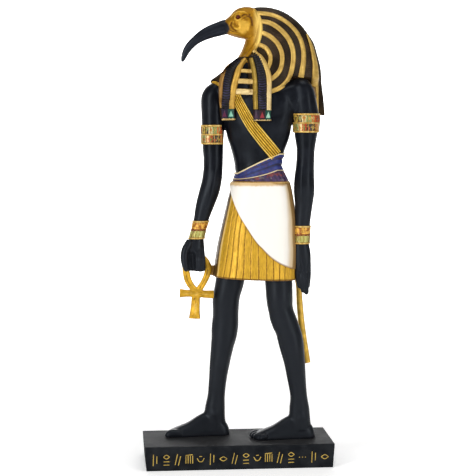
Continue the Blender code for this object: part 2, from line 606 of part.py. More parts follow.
def dress_forms(torso, forms):
    """Kilt, sash, strap, wig bands, lappets and arm bands."""
    named = {form.name: form for form in forms}
    carriers = ("neck", "hood", "side_panel", "head", "far_arm", "far_panel")
    chest = surface_finder([torso] + [named[name] for name in carriers])
    dress = [kilt(), apron()]
    for name, keys in WIG_ARCS.items():
        for side, label in ((-1.0, "near"), (1.0, "far")):
            dress.append(strip(f"{name}_{label}", keys, chest, ARC_LIFT, side=side))
    lappets = [lappet("lappet_near", LAPPET_NEAR, chest), lappet("lappet_far", LAPPET_FAR, chest)]
    front = surface_finder([torso, *(named[name] for name in carriers), *lappets])
    dress += lappets
    for index, keys in enumerate(LAPPET_ROPES):
        dress.append(strip(f"lappet_rope_{index + 1}", keys, front, ROPE_LIFT))
    for index, keys in enumerate(LAPPET_BORDERS):
        dress.append(strip(f"lappet_border_{index + 1}", keys, front, BORDER_LIFT))
    for index, keys in enumerate(LAPPET_TIPS):
        dress.append(strip(f"lappet_tip_{index + 1}", keys, front, TIP_LIFT))
    for index, (left, right, z, width) in enumerate(COLLAR_BARS):
        keys = [(left, z, width), (right, z, width)]
        dress.append(strip(f"collar_bar_{index + 1}", keys, chest, BAR_LIFT, BAR_SINK))
    dress.append(strip("strap_front", STRAP_FRONT, chest, STRAP_LIFT, STRAP_SINK))
    dress.append(strip("strap_back", STRAP_BACK, chest, STRAP_LIFT, STRAP_SINK, side=1.0))
    dress.append(waist_ring("sash", lambda x: SASH_LOW, sash_top, SASH_LIFT, SASH_SINK))
    rise = SASH_LIFT + CORD_LIFT
    for name, level in (("sash_cord", sash_top), ("waist_cord", lambda x: SASH_LOW)):
        low = lambda x, level=level: level(x) - CORD_WIDTH / 2.0
        high = lambda x, level=level: level(x) + CORD_WIDTH / 2.0
        dress.append(waist_ring(name, low, high, rise, CORD_SINK))
    for index, (side, low, high) in enumerate(ARM_BANDS):
        arm = FAR_ARM if side == "far" else NEAR_ARM
        dress.append(arm_band(f"arm_band_{index + 1}", arm, low, high))
    for index, keys in enumerate(ANKH_LOOP):
        dress.append(plate(f"ankh_loop_{index + 1}", keys, ANKH_Y, ANKH_THICKNESS - 1.0 - 0.1 * index))
    dress.append(plate("ankh_bar", ANKH_BAR, ANKH_Y, ANKH_THICKNESS))
    dress.append(plate("ankh_stem", ANKH_STEM, ANKH_Y, ANKH_THICKNESS - 0.2))
    dress.append(plate("ankh_web", ANKH_WEB, ANKH_Y + 1.0, ANKH_THICKNESS - 2.0))
    dress.append(plate("tail", TAIL, TAIL_Y, TAIL_THICKNESS))
    return dress


def join_forms(name, forms):
    """One object that holds all the forms' faces, still as overlapping bodies."""
    bm = bmesh.new()
    for form in forms:
        bm.from_mesh(form.data)
        bpy.data.meshes.remove(form.data)
    mesh = bpy.data.meshes.new(name)
    bm.to_mesh(mesh)
    bm.free()
    return bpy.data.objects.new(name, mesh)


def make_figure():
    """All forms of the casting, fused into one skin and then thinned to large faces."""
    torso = upright("torso", TORSO, 44, power=2.3, slope=CHEST_TURN)
    forms = [torso] + body_forms()
    figure = join_forms("figure", forms + dress_forms(torso, forms))
    bpy.context.scene.collection.objects.link(figure)
    fuse = figure.modifiers.new("fuse forms", "REMESH")
    fuse.mode = "VOXEL"
    fuse.voxel_size = FUSE_GRAIN * MM
    fuse.use_smooth_shade = True
    thin = figure.modifiers.new("large faces", "DECIMATE")
    thin.ratio = FACE_SHARE
    figure.data.materials.append(material("black_paint", (0.02, 0.021, 0.026), 0.42))
    return figure


def make_plinth():
    """The flat block under the feet, a little narrower at the bottom, with softened edges."""
    plinth = block("plinth", PLINTH_LENGTH, PLINTH_DEPTH, 0.0, PLINTH_HEIGHT)
    for vert in plinth.data.vertices:
        if vert.co.z < 0.5 * PLINTH_HEIGHT * MM:
            vert.co.x -= math.copysign(PLINTH_DRAFT * MM, vert.co.x)
            vert.co.y -= math.copysign(PLINTH_DRAFT * MM, vert.co.y)
    edge = plinth.modifiers.new("soft edges", "BEVEL")
    edge.width = PLINTH_EDGE * MM
    edge.segments = 3
    bpy.context.scene.collection.objects.link(plinth)
    plinth.data.materials.append(material("plinth_paint", (0.03, 0.03, 0.034), 0.5))
    return plinth


def main():
    for item in list(bpy.data.objects):
        bpy.data.objects.remove(item, do_unlink=True)
    make_figure()
    make_plinth()


main()
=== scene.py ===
# %% [markdown]
# # A painted statuette of an ibis-headed god
#
# The real thing is a shelf statuette of about a foot: one resin casting in black, with its wig, kilt and
# jewels picked out in gold and a few colours, glued on a flat plinth. This lesson takes the plain solid
# casting, which is already the right size, and dresses it piece by piece in finer forms and paints.

# %% Start from the solid casting
import math

import bmesh
import bpy
import numpy as np
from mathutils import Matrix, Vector
from mathutils.bvhtree import BVHTree


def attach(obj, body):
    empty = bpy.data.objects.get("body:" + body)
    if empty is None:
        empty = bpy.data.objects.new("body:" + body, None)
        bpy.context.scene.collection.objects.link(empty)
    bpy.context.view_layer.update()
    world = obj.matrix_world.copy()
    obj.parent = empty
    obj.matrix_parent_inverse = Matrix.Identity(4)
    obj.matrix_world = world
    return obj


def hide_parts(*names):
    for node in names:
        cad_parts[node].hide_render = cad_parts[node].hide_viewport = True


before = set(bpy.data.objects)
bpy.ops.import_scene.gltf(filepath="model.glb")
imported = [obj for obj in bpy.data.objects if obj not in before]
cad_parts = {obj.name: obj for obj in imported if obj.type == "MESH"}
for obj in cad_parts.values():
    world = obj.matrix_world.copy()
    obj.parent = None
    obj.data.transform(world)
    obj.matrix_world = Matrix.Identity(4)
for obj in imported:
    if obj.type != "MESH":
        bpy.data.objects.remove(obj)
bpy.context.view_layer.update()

# %% [markdown]
# ## Sizes and small tools
#
# Every table below is in millimetres, because that is how such a statuette is measured; a mesh is scaled to
# metres once, when it is made. Curves are given by a few keys, and a smooth curve through the keys gives
# all rows between them. It could be done with curve objects as well, but rows of plain numbers let one key
# carry a width and a depth beside its place.

# %% Rows on a smooth curve
MM = 0.001
TAU = 2.0 * math.pi
NEAR, FAR = -1.0, 1.0
RAY_START = 0.1


def curve_rows(keys, steps):
    """Rows on a smooth curve through the keys, with so many steps from key to key."""
    last = len(keys) - 1
    rows = []
    for index in range(last):
        span = [keys[min(max(index + offset, 0), last)] for offset in (-1, 0, 1, 2)]
        for step in range(steps):
            t = step / steps
            row = []
            for a, b, c, d in zip(*span):
                bend = 2.0 * a - 5.0 * b + 4.0 * c - d
                twist = 3.0 * b - a - 3.0 * c + d
                row.append(0.5 * (2.0 * b + (c - a) * t + bend * t ** 2 + twist * t ** 3))
            rows.append(tuple(row))
    rows.append(tuple(keys[last]))
    return rows


def row_at(keys, value):
    """The keys' row at a value of their first column, between two keys."""
    ordered = sorted(keys)
    value = min(max(value, ordered[0][0]), ordered[-1][0])
    for low, high in zip(ordered, ordered[1:]):
        if value <= high[0]:
            share = (value - low[0]) / (high[0] - low[0])
            return [a + (b - a) * share for a, b in zip(low, high)]
    return list(ordered[-1])


def oval(turn, power):
    """A point on a rounded unit outline: power 2 is a circle, a higher one is squarer."""
    x = math.copysign(abs(math.cos(turn)) ** (2.0 / power), math.cos(turn))
    y = math.copysign(abs(math.sin(turn)) ** (2.0 / power), math.sin(turn))
    return x, y


print("a curve of four keys gives", len(curve_rows([(0, 0), (1, 1), (2, 0), (3, 1)], 6)), "rows")

# %% [markdown]
# ## Lofts
#
# Nearly every form here is drawn out from a ring: one circle, extruded ring by ring, and each ring put where
# its section says. That is how a modeller pulls a limb from a cylinder by hand. Each point also keeps
# three numbers called *flat*: millimetres along the piece, millimetres across it, and how raised it is from
# 0 to 1. The paints read them, so that a pattern follows its band and brown paint settles in the grooves.

# %% A skin drawn from ring to ring
def finished(bm):
    """The mesh of a bmesh, which is freed."""
    mesh = bpy.data.meshes.new("form")
    bm.to_mesh(mesh)
    bm.free()
    return mesh


def loft(sections, sides, place):
    """A closed skin; place(section, share) gives a point in millimetres, alone or with its flat numbers."""
    bm = bmesh.new()
    share = bm.verts.layers.float.new("share")
    flat = bm.verts.layers.float_vector.new("flat")
    ring = bmesh.ops.create_circle(bm, cap_ends=True, segments=sides, radius=1.0)["verts"]
    for index, vert in enumerate(ring):
        vert[share] = index / sides
    rim = list(bm.edges)
    for number, section in enumerate(sections):
        if number:
            grown = bmesh.ops.extrude_edge_only(bm, edges=rim)["geom"]
            rim = [item for item in grown if isinstance(item, bmesh.types.BMEdge) and item.is_boundary]
            ring = [item for item in grown if isinstance(item, bmesh.types.BMVert)]
        for vert in ring:
            spot = place(section, vert[share])
            vert.co, vert[flat] = spot if isinstance(spot, tuple) else (spot, (0.0, 0.0, 0.5))
    bmesh.ops.edgeloop_fill(bm, edges=rim)
    bmesh.ops.recalc_face_normals(bm, faces=bm.faces)
    bmesh.ops.scale(bm, vec=(MM, MM, MM), verts=bm.verts)
    return finished(bm)


def upright(keys, sides, power=2.0, slope=0.0, rear_power=None, steps=4, grow=0.0):
    """A form of level ovals: height, middle x, middle y, half width and half depth in each key."""
    def place(row, share):
        z, x, y, half_width, half_depth = row
        turn = TAU * share
        squareness = rear_power if rear_power and math.cos(turn) > 0.0 else power
        across, deep = oval(turn, squareness)
        wide, thick = half_width + grow, half_depth + grow
        return Vector((x + wide * across, y + thick * deep + slope * wide * across, z))
    return loft(curve_rows(keys, steps), sides, place)


def tube(keys, sides, floor=0.0):
    """A round form along x, y, z and radius, with a rounded tip."""
    rows = curve_rows(keys, 4)
    points = [Vector(row[:3]) for row in rows]
    rings = []
    for index, point in enumerate(points):
        along = points[min(index + 1, len(points) - 1)] - points[max(index - 1, 0)]
        rings.append((point, along.normalized(), rows[index][3]))
    end = (points[-1] - points[-2]).normalized()
    tip = rows[-1][3]
    for reach in (0.35, 0.65, 0.85, 0.97):
        rings.append((points[-1] + end * tip * reach, end, tip * math.sqrt(1.0 - reach ** 2)))

    def place(ring, share):
        middle, along, radius = ring
        side = along.cross(Vector((0.0, 1.0, 0.0))).normalized()
        lift = side.cross(along)
        point = middle + radius * (side * math.cos(TAU * share) + lift * math.sin(TAU * share))
        point.z = max(point.z, floor)
        return point
    return loft(rings, sides, place)


def gather(meshes):
    """One mesh that holds all the meshes' faces."""
    bm = bmesh.new()
    for mesh in meshes:
        bm.from_mesh(mesh)
        bpy.data.meshes.remove(mesh)
    return finished(bm)


print("loft, upright, tube and gather are ready")

# %% [markdown]
# ## Fusing, softening and carving
#
# A sculptor builds a body from separate lumps and smooths the joins away. The voxel Remesh does the first
# part, a Smooth modifier takes the voxel steps off, and Decimate spends the faces where the form bends.
# Small lines, such as the folds of a hand, are then carved by moving points along their normals.

# %% Tools for the fused skins
def put(name, data):
    """A new object in the scene."""
    made = bpy.data.objects.new(name, data)
    bpy.context.scene.collection.objects.link(made)
    return made


def fuse(meshes, grain, rounds, share):
    """One skin round overlapping forms, with grain in millimetres, smoothed and thinned to a share."""
    lump = put("lump", gather(meshes))
    skin = lump.modifiers.new("skin", "REMESH")
    skin.mode = "VOXEL"
    skin.voxel_size = grain * MM
    soft = lump.modifiers.new("soft", "SMOOTH")
    soft.factor = 0.5
    soft.iterations = rounds
    thin = lump.modifiers.new("thin", "DECIMATE")
    thin.ratio = share
    mesh = bpy.data.meshes.new_from_object(lump.evaluated_get(bpy.context.evaluated_depsgraph_get()))
    bpy.data.objects.remove(lump, do_unlink=True)
    return mesh


def blend_joints(mesh, joints):
    """Smooths the skin inside balls, each with a middle, a radius and a number of rounds."""
    bm = bmesh.new()
    bm.from_mesh(mesh)
    for middle, radius, rounds in joints:
        middle = Vector(middle) * MM
        near = [vert for vert in bm.verts if (vert.co - middle).length < radius * MM]
        for _ in range(rounds):
            bmesh.ops.smooth_vert(
                bm, verts=near, factor=0.5, use_axis_x=True, use_axis_y=True, use_axis_z=True
            )
    bm.to_mesh(mesh)
    bm.free()


def carve(mesh, strokes, mark=False):
    """A soft ridge along each stroke of points in millimetres, or a groove where its lift is negative.

    With mark, the flat numbers remember the ridges and grooves, for the paint.
    """
    count = len(mesh.vertices)
    points = np.empty(count * 3)
    normals = np.empty(count * 3)
    mesh.vertices.foreach_get("co", points)
    mesh.vertices.foreach_get("normal", normals)
    points = points.reshape(-1, 3) / MM
    normals = normals.reshape(-1, 3)
    height = np.zeros(count)
    for path, width, lift in strokes:
        nearest = np.full(count, np.inf)
        stops = [np.array(stop, dtype=float) for stop in path]
        for start, end in zip(stops, stops[1:] or stops):
            along = end - start
            share = np.clip(((points - start) @ along) / max(along @ along, 1e-9), 0.0, 1.0)
            nearest = np.minimum(nearest, np.linalg.norm(points - start - share[:, None] * along, axis=1))
        height += lift * np.exp(-(nearest / width) ** 2)
    points += normals * height[:, None]
    mesh.vertices.foreach_set("co", (points * MM).ravel())
    mesh.update()
    if mark:
        raised = np.zeros((count, 3))
        raised[:, 2] = np.clip(0.5 + height, 0.0, 1.0)
        mesh.attributes.new("flat", "FLOAT_VECTOR", "POINT").data.foreach_set("vector", raised.ravel())


def finder(meshes):
    """A function that gives the point and outward direction on the meshes, seen along Y from one side."""
    trees = []
    for mesh in meshes:
        bm = bmesh.new()
        bm.from_mesh(mesh)
        trees.append(BVHTree.FromBMesh(bm))
        bm.free()

    def find(x, z, side):
        start = Vector((x * MM, side * RAY_START, z * MM))
        casts = [tree.ray_cast(start, Vector((0.0, -side, 0.0))) for tree in trees]
        hits = [(distance, point / MM, normal) for point, normal, _, distance in casts if point is not None]
        return min(hits, key=lambda hit: hit[0])[1:] if hits else None
    return find


def show(name, mesh, paint, node="figure", crease=70.0):
    """Puts a finished mesh in the scene as a piece of the object."""
    mesh.name = name
    piece = put(name, mesh)
    mesh.materials.clear()
    mesh.materials.append(paint)
    mesh.shade_smooth()
    mesh.set_sharp_from_angle(angle=math.radians(crease))
    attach(piece, "root")
    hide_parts(node)
    print(name, "has", sum(len(face.vertices) - 2 for face in mesh.polygons), "triangles")
    return piece


print("fuse, blend_joints, carve, finder and show are ready")

# %% [markdown]
# ## Paints
#
# The casting is painted by hand, so no surface is one flat colour: gold is brushed over a darker ground
# that stays in the grooves, shade between close parts is painted in darker as painted shade, raised open
# edges get a paler gold as a painted highlight, and black shows a fine casting grain.
# Effects that several paints share are node groups with named inputs, and each paint gives them its own
# values. The lights do the shine, so the shader itself always stays in the material.

# %% Short ways to add shader nodes
def add(tree, kind, settings, *values):
    """Adds a node, sets its properties, and gives its inputs in order a value or a link."""
    made = tree.nodes.new(kind)
    for key, value in settings.items():
        setattr(made, key, value)
    for socket, value in zip(made.inputs, values):
        give(tree, socket, value)
    return made


def give(tree, socket, value):
    """Links another node's output to a socket, or sets the socket's value."""
    if isinstance(value, bpy.types.NodeSocket):
        tree.links.new(value, socket)
    elif value is not None:
        socket.default_value = value


def preset(node, **values):
    """Sets a node's inputs, which are named with underscores for their spaces."""
    for label, value in values.items():
        node.inputs[label.replace("_", " ")].default_value = value


def calc(tree, operation, *values):
    """One step of arithmetic on values or links."""
    return add(tree, "ShaderNodeMath", {"operation": operation}, *values).outputs[0]


def invert(tree, value):
    """1 where the value is 0, and 0 where it is 1."""
    return calc(tree, "SUBTRACT", 1.0, value)


def off(tree, value, middle):
    """How far the value is from a middle one, to either side."""
    return calc(tree, "ABSOLUTE", calc(tree, "SUBTRACT", value, middle))


def tint(tree, factor, low, high):
    """The low colour where the factor is 0 and the high one where it is 1."""
    made = tree.nodes.new("ShaderNodeMix")
    made.data_type = "RGBA"
    for socket, value in ((made.inputs[0], factor), (made.inputs[6], low), (made.inputs[7], high)):
        give(tree, socket, (*value, 1.0) if isinstance(value, tuple) else value)
    return made.outputs[2]


def steps_of(tree, value, low, high):
    """0 below low, 1 above high, and a soft step between."""
    made = tree.nodes.new("ShaderNodeMapRange")
    made.interpolation_type = "SMOOTHSTEP"
    for socket, number in zip(made.inputs, (value, low, high, 0.0, 1.0)):
        give(tree, socket, number)
    return made.outputs[0]


def noise(tree, size, detail=3.0, rough=0.5, squash=(1.0, 1.0, 1.0)):
    """Noise on the piece's own coordinates, with features of about this size in millimetres."""
    place = tree.nodes.new("ShaderNodeTexCoord").outputs["Object"]
    if squash != (1.0, 1.0, 1.0):
        place = add(tree, "ShaderNodeMapping", {}, place, None, None, squash).outputs[0]
    made = tree.nodes.new("ShaderNodeTexNoise")
    give(tree, made.inputs["Vector"], place)
    give(tree, made.inputs["Scale"], calc(tree, "DIVIDE", 1.0 / MM, size))
    preset(made, Detail=detail, Roughness=rough)
    return made.outputs["Fac"]


def uneven(tree, value, size, amount):
    """The value with noise added, for an edge that wavers as a brush does."""
    return calc(tree, "MULTIPLY_ADD", noise(tree, size), amount, value)


def own_axes(tree):
    """X, Y and Z of the piece's own coordinates."""
    place = tree.nodes.new("ShaderNodeTexCoord").outputs["Object"]
    return add(tree, "ShaderNodeSeparateXYZ", {}, place).outputs


def new_group(name, inputs, outputs):
    """An empty node group with float inputs and outputs, and its two end nodes."""
    tree = bpy.data.node_groups.new(name, "ShaderNodeTree")
    for label, value in inputs:
        socket = tree.interface.new_socket(name=label, in_out="INPUT", socket_type="NodeSocketFloat")
        socket.default_value = value
    for label in outputs:
        tree.interface.new_socket(name=label, in_out="OUTPUT", socket_type="NodeSocketFloat")
    return tree, tree.nodes.new("NodeGroupInput").outputs, tree.nodes.new("NodeGroupOutput").inputs


def use_group(tree, group, **values):
    """Places a node group in a material, with its inputs given by name."""
    made = tree.nodes.new("ShaderNodeGroup")
    made.node_tree = group
    for label, value in values.items():
        give(tree, made.inputs[label.replace("_", " ")], value)
    return made.outputs


print("node tools are ready")

# %% [markdown]
# ### Casting grain, paint in the grooves, painted shade and highlight, and dust
#
# *Casting grain* is the slightly pebbled skin that a resin casting and its sprayed paint have. *Settled
# paint and shade* tells grooves from ridges: it takes the raised number that a piece keeps, where a darker
# ground stays in the grooves, and the shade between close surfaces, which it paints in darker as painted
# shade; it roughens both with noise as a brush would, and gives raised places open to the sky a paler
# painted highlight. *Shelf dust* lies on what faces up.

# %% The shared node groups
grain_group, ins, outs = new_group("casting grain", [("Grain", 0.5), ("Patch", 9.0)], ["Height", "Mottle"])
give(grain_group, outs["Height"], noise(grain_group, ins["Grain"], 4.0, 0.6))
patch_noise = noise(grain_group, ins["Patch"], 4.0, 0.55)
give(grain_group, outs["Mottle"], steps_of(grain_group, patch_noise, 0.32, 0.7))

settled_shade_highlight_group, ins, outs = new_group(
    "settled paint, painted shade and highlight", [("Raised", 0.5), ("Reach", 1.6), ("Brush", 1.4)], ["Groove", "Ridge"]
)
# Ambient occlusion finds where surfaces lie close; that shade is painted into the colour as painted shade.
near_shade = settled_shade_highlight_group.nodes.new("ShaderNodeAmbientOcclusion")
near_shade.samples = 8
give(settled_shade_highlight_group, near_shade.inputs["Distance"], calc(settled_shade_highlight_group, "MULTIPLY", ins["Reach"], MM))
open_sky = near_shade.outputs["AO"]
streak = noise(settled_shade_highlight_group, ins["Brush"], 4.0, 0.6)
level = calc(settled_shade_highlight_group, "ADD", ins["Raised"], calc(settled_shade_highlight_group, "MULTIPLY_ADD", streak, 0.5, -0.25))
deep = invert(settled_shade_highlight_group, steps_of(settled_shade_highlight_group, level, 0.02, 0.42))
dark = invert(settled_shade_highlight_group, steps_of(settled_shade_highlight_group, open_sky, 0.25, 0.85))
give(settled_shade_highlight_group, outs["Groove"], calc(settled_shade_highlight_group, "MAXIMUM", deep, dark))
# Raised places open to the sky get a paler colour: a painted highlight.
high_up = steps_of(settled_shade_highlight_group, level, 0.62, 1.05)
well_lit = steps_of(settled_shade_highlight_group, open_sky, 0.5, 0.95)
give(settled_shade_highlight_group, outs["Ridge"], calc(settled_shade_highlight_group, "MULTIPLY", high_up, well_lit))

dust_group, ins, outs = new_group("shelf dust", [("Amount", 0.15)], ["Dust"])
facing = dust_group.nodes.new("ShaderNodeNewGeometry").outputs["Normal"]
upward = add(dust_group, "ShaderNodeSeparateXYZ", {}, facing).outputs["Z"]
lying = calc(dust_group, "MULTIPLY", steps_of(dust_group, upward, 0.3, 1.0), noise(dust_group, 5.0, 5.0, 0.6))
give(dust_group, outs["Dust"], calc(dust_group, "MULTIPLY", lying, ins["Amount"]))
print("node groups:", [group.name for group in bpy.data.node_groups])


# %% A paint with grain and bump
def new_paint(name, metal=0.0, coat=0.0, specular=0.5):
    """A material with its Principled shader, ready for colours."""
    paint = bpy.data.materials.new(name)
    paint.use_nodes = True
    tree = paint.node_tree
    shader = tree.nodes["Principled BSDF"]
    preset(shader, Metallic=metal, Coat_Weight=coat, Coat_Roughness=0.25, Specular_IOR_Level=specular)
    return paint, tree, shader


def top_coat(paint):
    """A finished paint's tree, shader and colour, to lay another colour over it."""
    shader = paint.node_tree.nodes["Principled BSDF"]
    return paint.node_tree, shader, shader.inputs["Base Color"].links[0].from_socket


def recolour(tree, shader, colour):
    """Gives the shader its colour."""
    give(tree, shader.inputs["Base Color"], colour)


def flat_numbers(tree):
    """Millimetres along, millimetres across, and how raised the point is."""
    read = add(tree, "ShaderNodeAttribute", {"attribute_name": "flat"})
    return add(tree, "ShaderNodeSeparateXYZ", {}, read.outputs["Vector"]).outputs


def grain_on(tree, shader, roughness, spread, grain=0.5, patch=9.0, depth=0.05):
    """Bump and roughness from the casting grain; returns the mottle."""
    height, mottle = use_group(tree, grain_group, Grain=grain, Patch=patch)
    bump = add(tree, "ShaderNodeBump", {}, 0.6, depth * MM)
    give(tree, bump.inputs["Height"], height)
    give(tree, shader.inputs["Normal"], bump.outputs[0])
    give(tree, shader.inputs["Roughness"], calc(tree, "MULTIPLY_ADD", mottle, spread, roughness))
    return mottle


def black_paint(name, deep_colour, worn_colour, roughness, dust=0.12, specular=0.17, follow=False):
    """Satin paint that is a little uneven and holds some dust; with follow it is paler on raised points."""
    paint, tree, shader = new_paint(name, specular=specular)
    preset(shader, Specular_Tint=(0.80, 0.90, 1.0, 1.0))
    mottle = grain_on(tree, shader, roughness, 0.10)
    if follow:
        mottle = calc(tree, "MULTIPLY", mottle, steps_of(tree, flat_numbers(tree)[2], 0.15, 0.8))
    colour = tint(tree, mottle, deep_colour, worn_colour)
    lying = use_group(tree, dust_group, Amount=dust)[0]
    recolour(tree, shader, tint(tree, lying, colour, (0.30, 0.29, 0.28)))
    return paint


def gold_paint(name, main, shade, light, metal=0.5, roughness=0.34, follow=True, reach=1.6, streaks=None):
    """Gold over a brown ground: grooves stay brown and ridges are paler; streaks squash the brush marks."""
    paint, tree, shader = new_paint(name, metal=metal, specular=0.22)
    mottle = grain_on(tree, shader, roughness, 0.16, 0.35, 4.0, 0.06)
    raised = flat_numbers(tree)[2] if follow else 0.5
    # The groove colour is the brown ground in grooves plus painted shade between close parts; the paler ridge
    # colour is a painted highlight.
    groove, ridge = use_group(tree, settled_shade_highlight_group, Raised=raised, Reach=reach)
    if streaks:
        brushed = steps_of(tree, noise(tree, 1.1, 4.0, 0.6, streaks), 0.36, 0.66)
        mottle = calc(tree, "MAXIMUM", brushed, calc(tree, "MULTIPLY", mottle, 0.4))
    body = tint(tree, mottle, main, tuple(0.62 * a + 0.38 * b for a, b in zip(main, shade)))
    lit = tint(tree, calc(tree, "MULTIPLY", ridge, 0.75), body, light)
    recolour(tree, shader, tint(tree, calc(tree, "MULTIPLY", groove, 0.92), lit, shade))
    return paint


BROWN_GROUND = (0.085, 0.036, 0.007)
skin_black = black_paint("skin black", (0.0028, 0.0031, 0.0050), (0.007, 0.0080, 0.0115), 0.30, 0.04, 0.135)
beak_black = black_paint("beak black", (0.0045, 0.005, 0.009), (0.011, 0.013, 0.020), 0.28, 0.03, 0.25)
wig_black = black_paint("wig black", (0.012, 0.0065, 0.003), (0.036, 0.021, 0.008), 0.46, 0.02, 0.10)
braid_black = black_paint(
    "braid black", (0.006, 0.003, 0.0015), (0.075, 0.045, 0.026), 0.44, 0.02, 0.25, follow=True
)
old_gold = gold_paint("old gold", (0.70, 0.39, 0.030), BROWN_GROUND, (0.92, 0.66, 0.19))
strap_gold = gold_paint("strap gold", (0.78, 0.47, 0.028), (0.14, 0.065, 0.005), (0.98, 0.78, 0.26))
head_gold = gold_paint(
    "head gold", (0.40, 0.19, 0.005), (0.11, 0.04, 0.003), (0.84, 0.50, 0.07), 0.45, 0.42, reach=2.6
)
pale_gold = gold_paint("pale gold", (0.60, 0.39, 0.095), (0.17, 0.08, 0.012), (0.86, 0.68, 0.30), 0.35)
amber_gold = gold_paint("amber gold", (0.62, 0.37, 0.065), (0.17, 0.07, 0.012), (0.84, 0.60, 0.20), 0.35)
cream_gold = gold_paint("cream gold", (0.80, 0.62, 0.30), (0.20, 0.09, 0.02), (0.96, 0.84, 0.56), 0.25)
olive_gold = gold_paint("olive gold", (0.34, 0.22, 0.035), (0.09, 0.05, 0.01), (0.66, 0.48, 0.12), 0.4)
brown_gold = gold_paint("brown gold", (0.36, 0.19, 0.045), (0.09, 0.035, 0.01), (0.60, 0.40, 0.15), 0.3)
plain_gold = gold_paint("plain gold", (0.76, 0.47, 0.075), BROWN_GROUND, (0.92, 0.70, 0.28), follow=False)

# Below the chest the bare skin's black is a little paler: painted light from the pale floor and side lights.
FLOOR_LIGHT_FADE = (188.0 * MM, 222.0 * MM)
tree, shader, plain = top_coat(skin_black)
chest_high = steps_of(tree, uneven(tree, own_axes(tree)["Z"], 14.0, 40.0 * MM), *FLOOR_LIGHT_FADE)
painted_floor_light = calc(tree, "MULTIPLY_ADD", chest_high, -0.8, 0.8)
recolour(tree, shader, tint(tree, painted_floor_light, plain, (0.0125, 0.0140, 0.0175)))
for warm in (wig_black, braid_black):
    preset(warm.node_tree.nodes["Principled BSDF"], Specular_Tint=(1.0, 0.85, 0.62, 1.0))
print("black and gold paints are ready")

# %% [markdown]
# ## Body
#
# The bare parts of the god are one smooth black skin. Torso, neck, arms and legs are towers of ovals read
# from side and front views of a striding figure; fingers and toes are round-tipped tubes. Boolean unions
# would leave sharp joins between them, so the overlapping forms are fused by voxels and the shoulders,
# ankles and the near hand are smoothed further, as a sculptor would with a wet thumb.

# %% Tables of the body
SOLE = 16.4
CHEST_TURN = -0.22
TORSO = [
    (180.0, 15.7, 0.5, 18.0, 12.8), (188.5, 15.9, 0.4, 17.7, 12.9), (192.5, 15.5, 0.2, 16.0, 12.1),
    (197.5, 13.9, 0.1, 15.2, 11.7), (201.0, 13.7, 0.0, 15.3, 11.6), (209.0, 14.0, -0.3, 17.5, 12.3),
    (217.0, 14.1, -0.6, 20.2, 13.3), (225.0, 14.1, -1.0, 21.6, 14.1), (233.0, 14.5, -1.2, 23.1, 14.4),
    (240.0, 15.2, -1.0, 26.0, 14.1), (246.0, 16.0, -0.8, 28.0, 12.8), (251.5, 17.2, -0.2, 25.0, 10.4),
    (257.5, 19.2, 0.4, 15.0, 7.4),
]
NECK = [
    (240.0, 2.5, 0.0, 9.0, 10.0), (246.0, 1.0, 0.0, 12.6, 13.2), (251.0, 1.0, 0.0, 13.0, 13.2),
    (256.5, 1.3, 0.0, 12.3, 12.6), (262.0, 3.1, 0.0, 11.0, 11.6), (267.6, 8.2, 0.0, 8.6, 10.0),
    (274.5, 11.6, 0.0, 7.9, 8.6), (281.5, 13.8, 0.0, 7.8, 7.8), (286.0, 12.0, 0.0, 6.0, 7.0),
]
FAR_LEG = [
    (136.0, -2.5, 5.4, 9.8, 8.2), (120.0, -4.2, 6.6, 9.8, 8.8), (109.2, -6.5, 7.5, 9.2, 8.8),
    (99.0, -6.8, 8.0, 8.7, 8.3), (91.0, -7.1, 8.0, 8.9, 8.0), (83.0, -7.9, 8.0, 8.5, 7.8),
    (75.0, -9.3, 8.1, 7.6, 7.4), (65.0, -10.8, 8.2, 6.8, 6.8), (54.0, -12.1, 8.4, 6.0, 6.0),
    (43.0, -13.2, 8.6, 5.9, 5.4), (34.0, -14.1, 8.8, 6.9, 5.6), (22.0, -14.6, 9.0, 7.5, 5.7),
]
NEAR_LEG = [
    (136.0, 26.6, -4.2, 9.7, 9.4), (121.0, 27.4, -5.6, 9.2, 9.2), (110.6, 27.8, -6.4, 8.9, 8.9),
    (104.0, 28.4, -6.5, 8.5, 8.4), (95.0, 31.3, -6.5, 8.9, 8.2), (86.0, 34.4, -6.5, 8.7, 8.0),
    (78.0, 36.1, -6.5, 8.2, 7.7), (67.5, 38.0, -6.5, 7.1, 6.8), (56.7, 39.4, -6.4, 6.3, 6.0),
    (45.0, 40.9, -6.3, 5.7, 5.4), (35.0, 41.5, -5.9, 6.9, 5.6), (22.0, 42.0, -5.6, 7.5, 5.7),
]
FAR_ARM = [
    (252.9, -12.4, 5.3, 2.6, 3.2), (251.8, -12.9, 5.4, 5.0, 5.2), (248.8, -13.8, 5.6, 7.2, 7.0),
    (243.0, -14.9, 5.9, 8.4, 8.4), (231.0, -15.2, 5.8, 7.9, 8.3), (221.0, -15.3, 5.3, 7.4, 7.5),
    (211.0, -15.5, 4.8, 7.0, 6.9),
    (200.0, -15.3, 4.3, 6.5, 6.5), (190.0, -16.1, 3.8, 6.7, 6.6), (181.0, -18.1, 3.3, 7.0, 6.5),
    (172.0, -20.9, 2.9, 6.4, 6.0), (163.0, -23.4, 2.4, 5.2, 5.0), (156.0, -25.2, 2.2, 4.6, 4.4),
    (151.0, -26.5, 2.0, 4.7, 4.4), (146.0, -27.7, 2.0, 6.2, 4.8), (139.0, -29.3, 2.0, 8.2, 5.4),
    (132.6, -28.9, 2.0, 7.9, 5.2), (128.6, -28.5, 2.0, 7.2, 4.6),
]
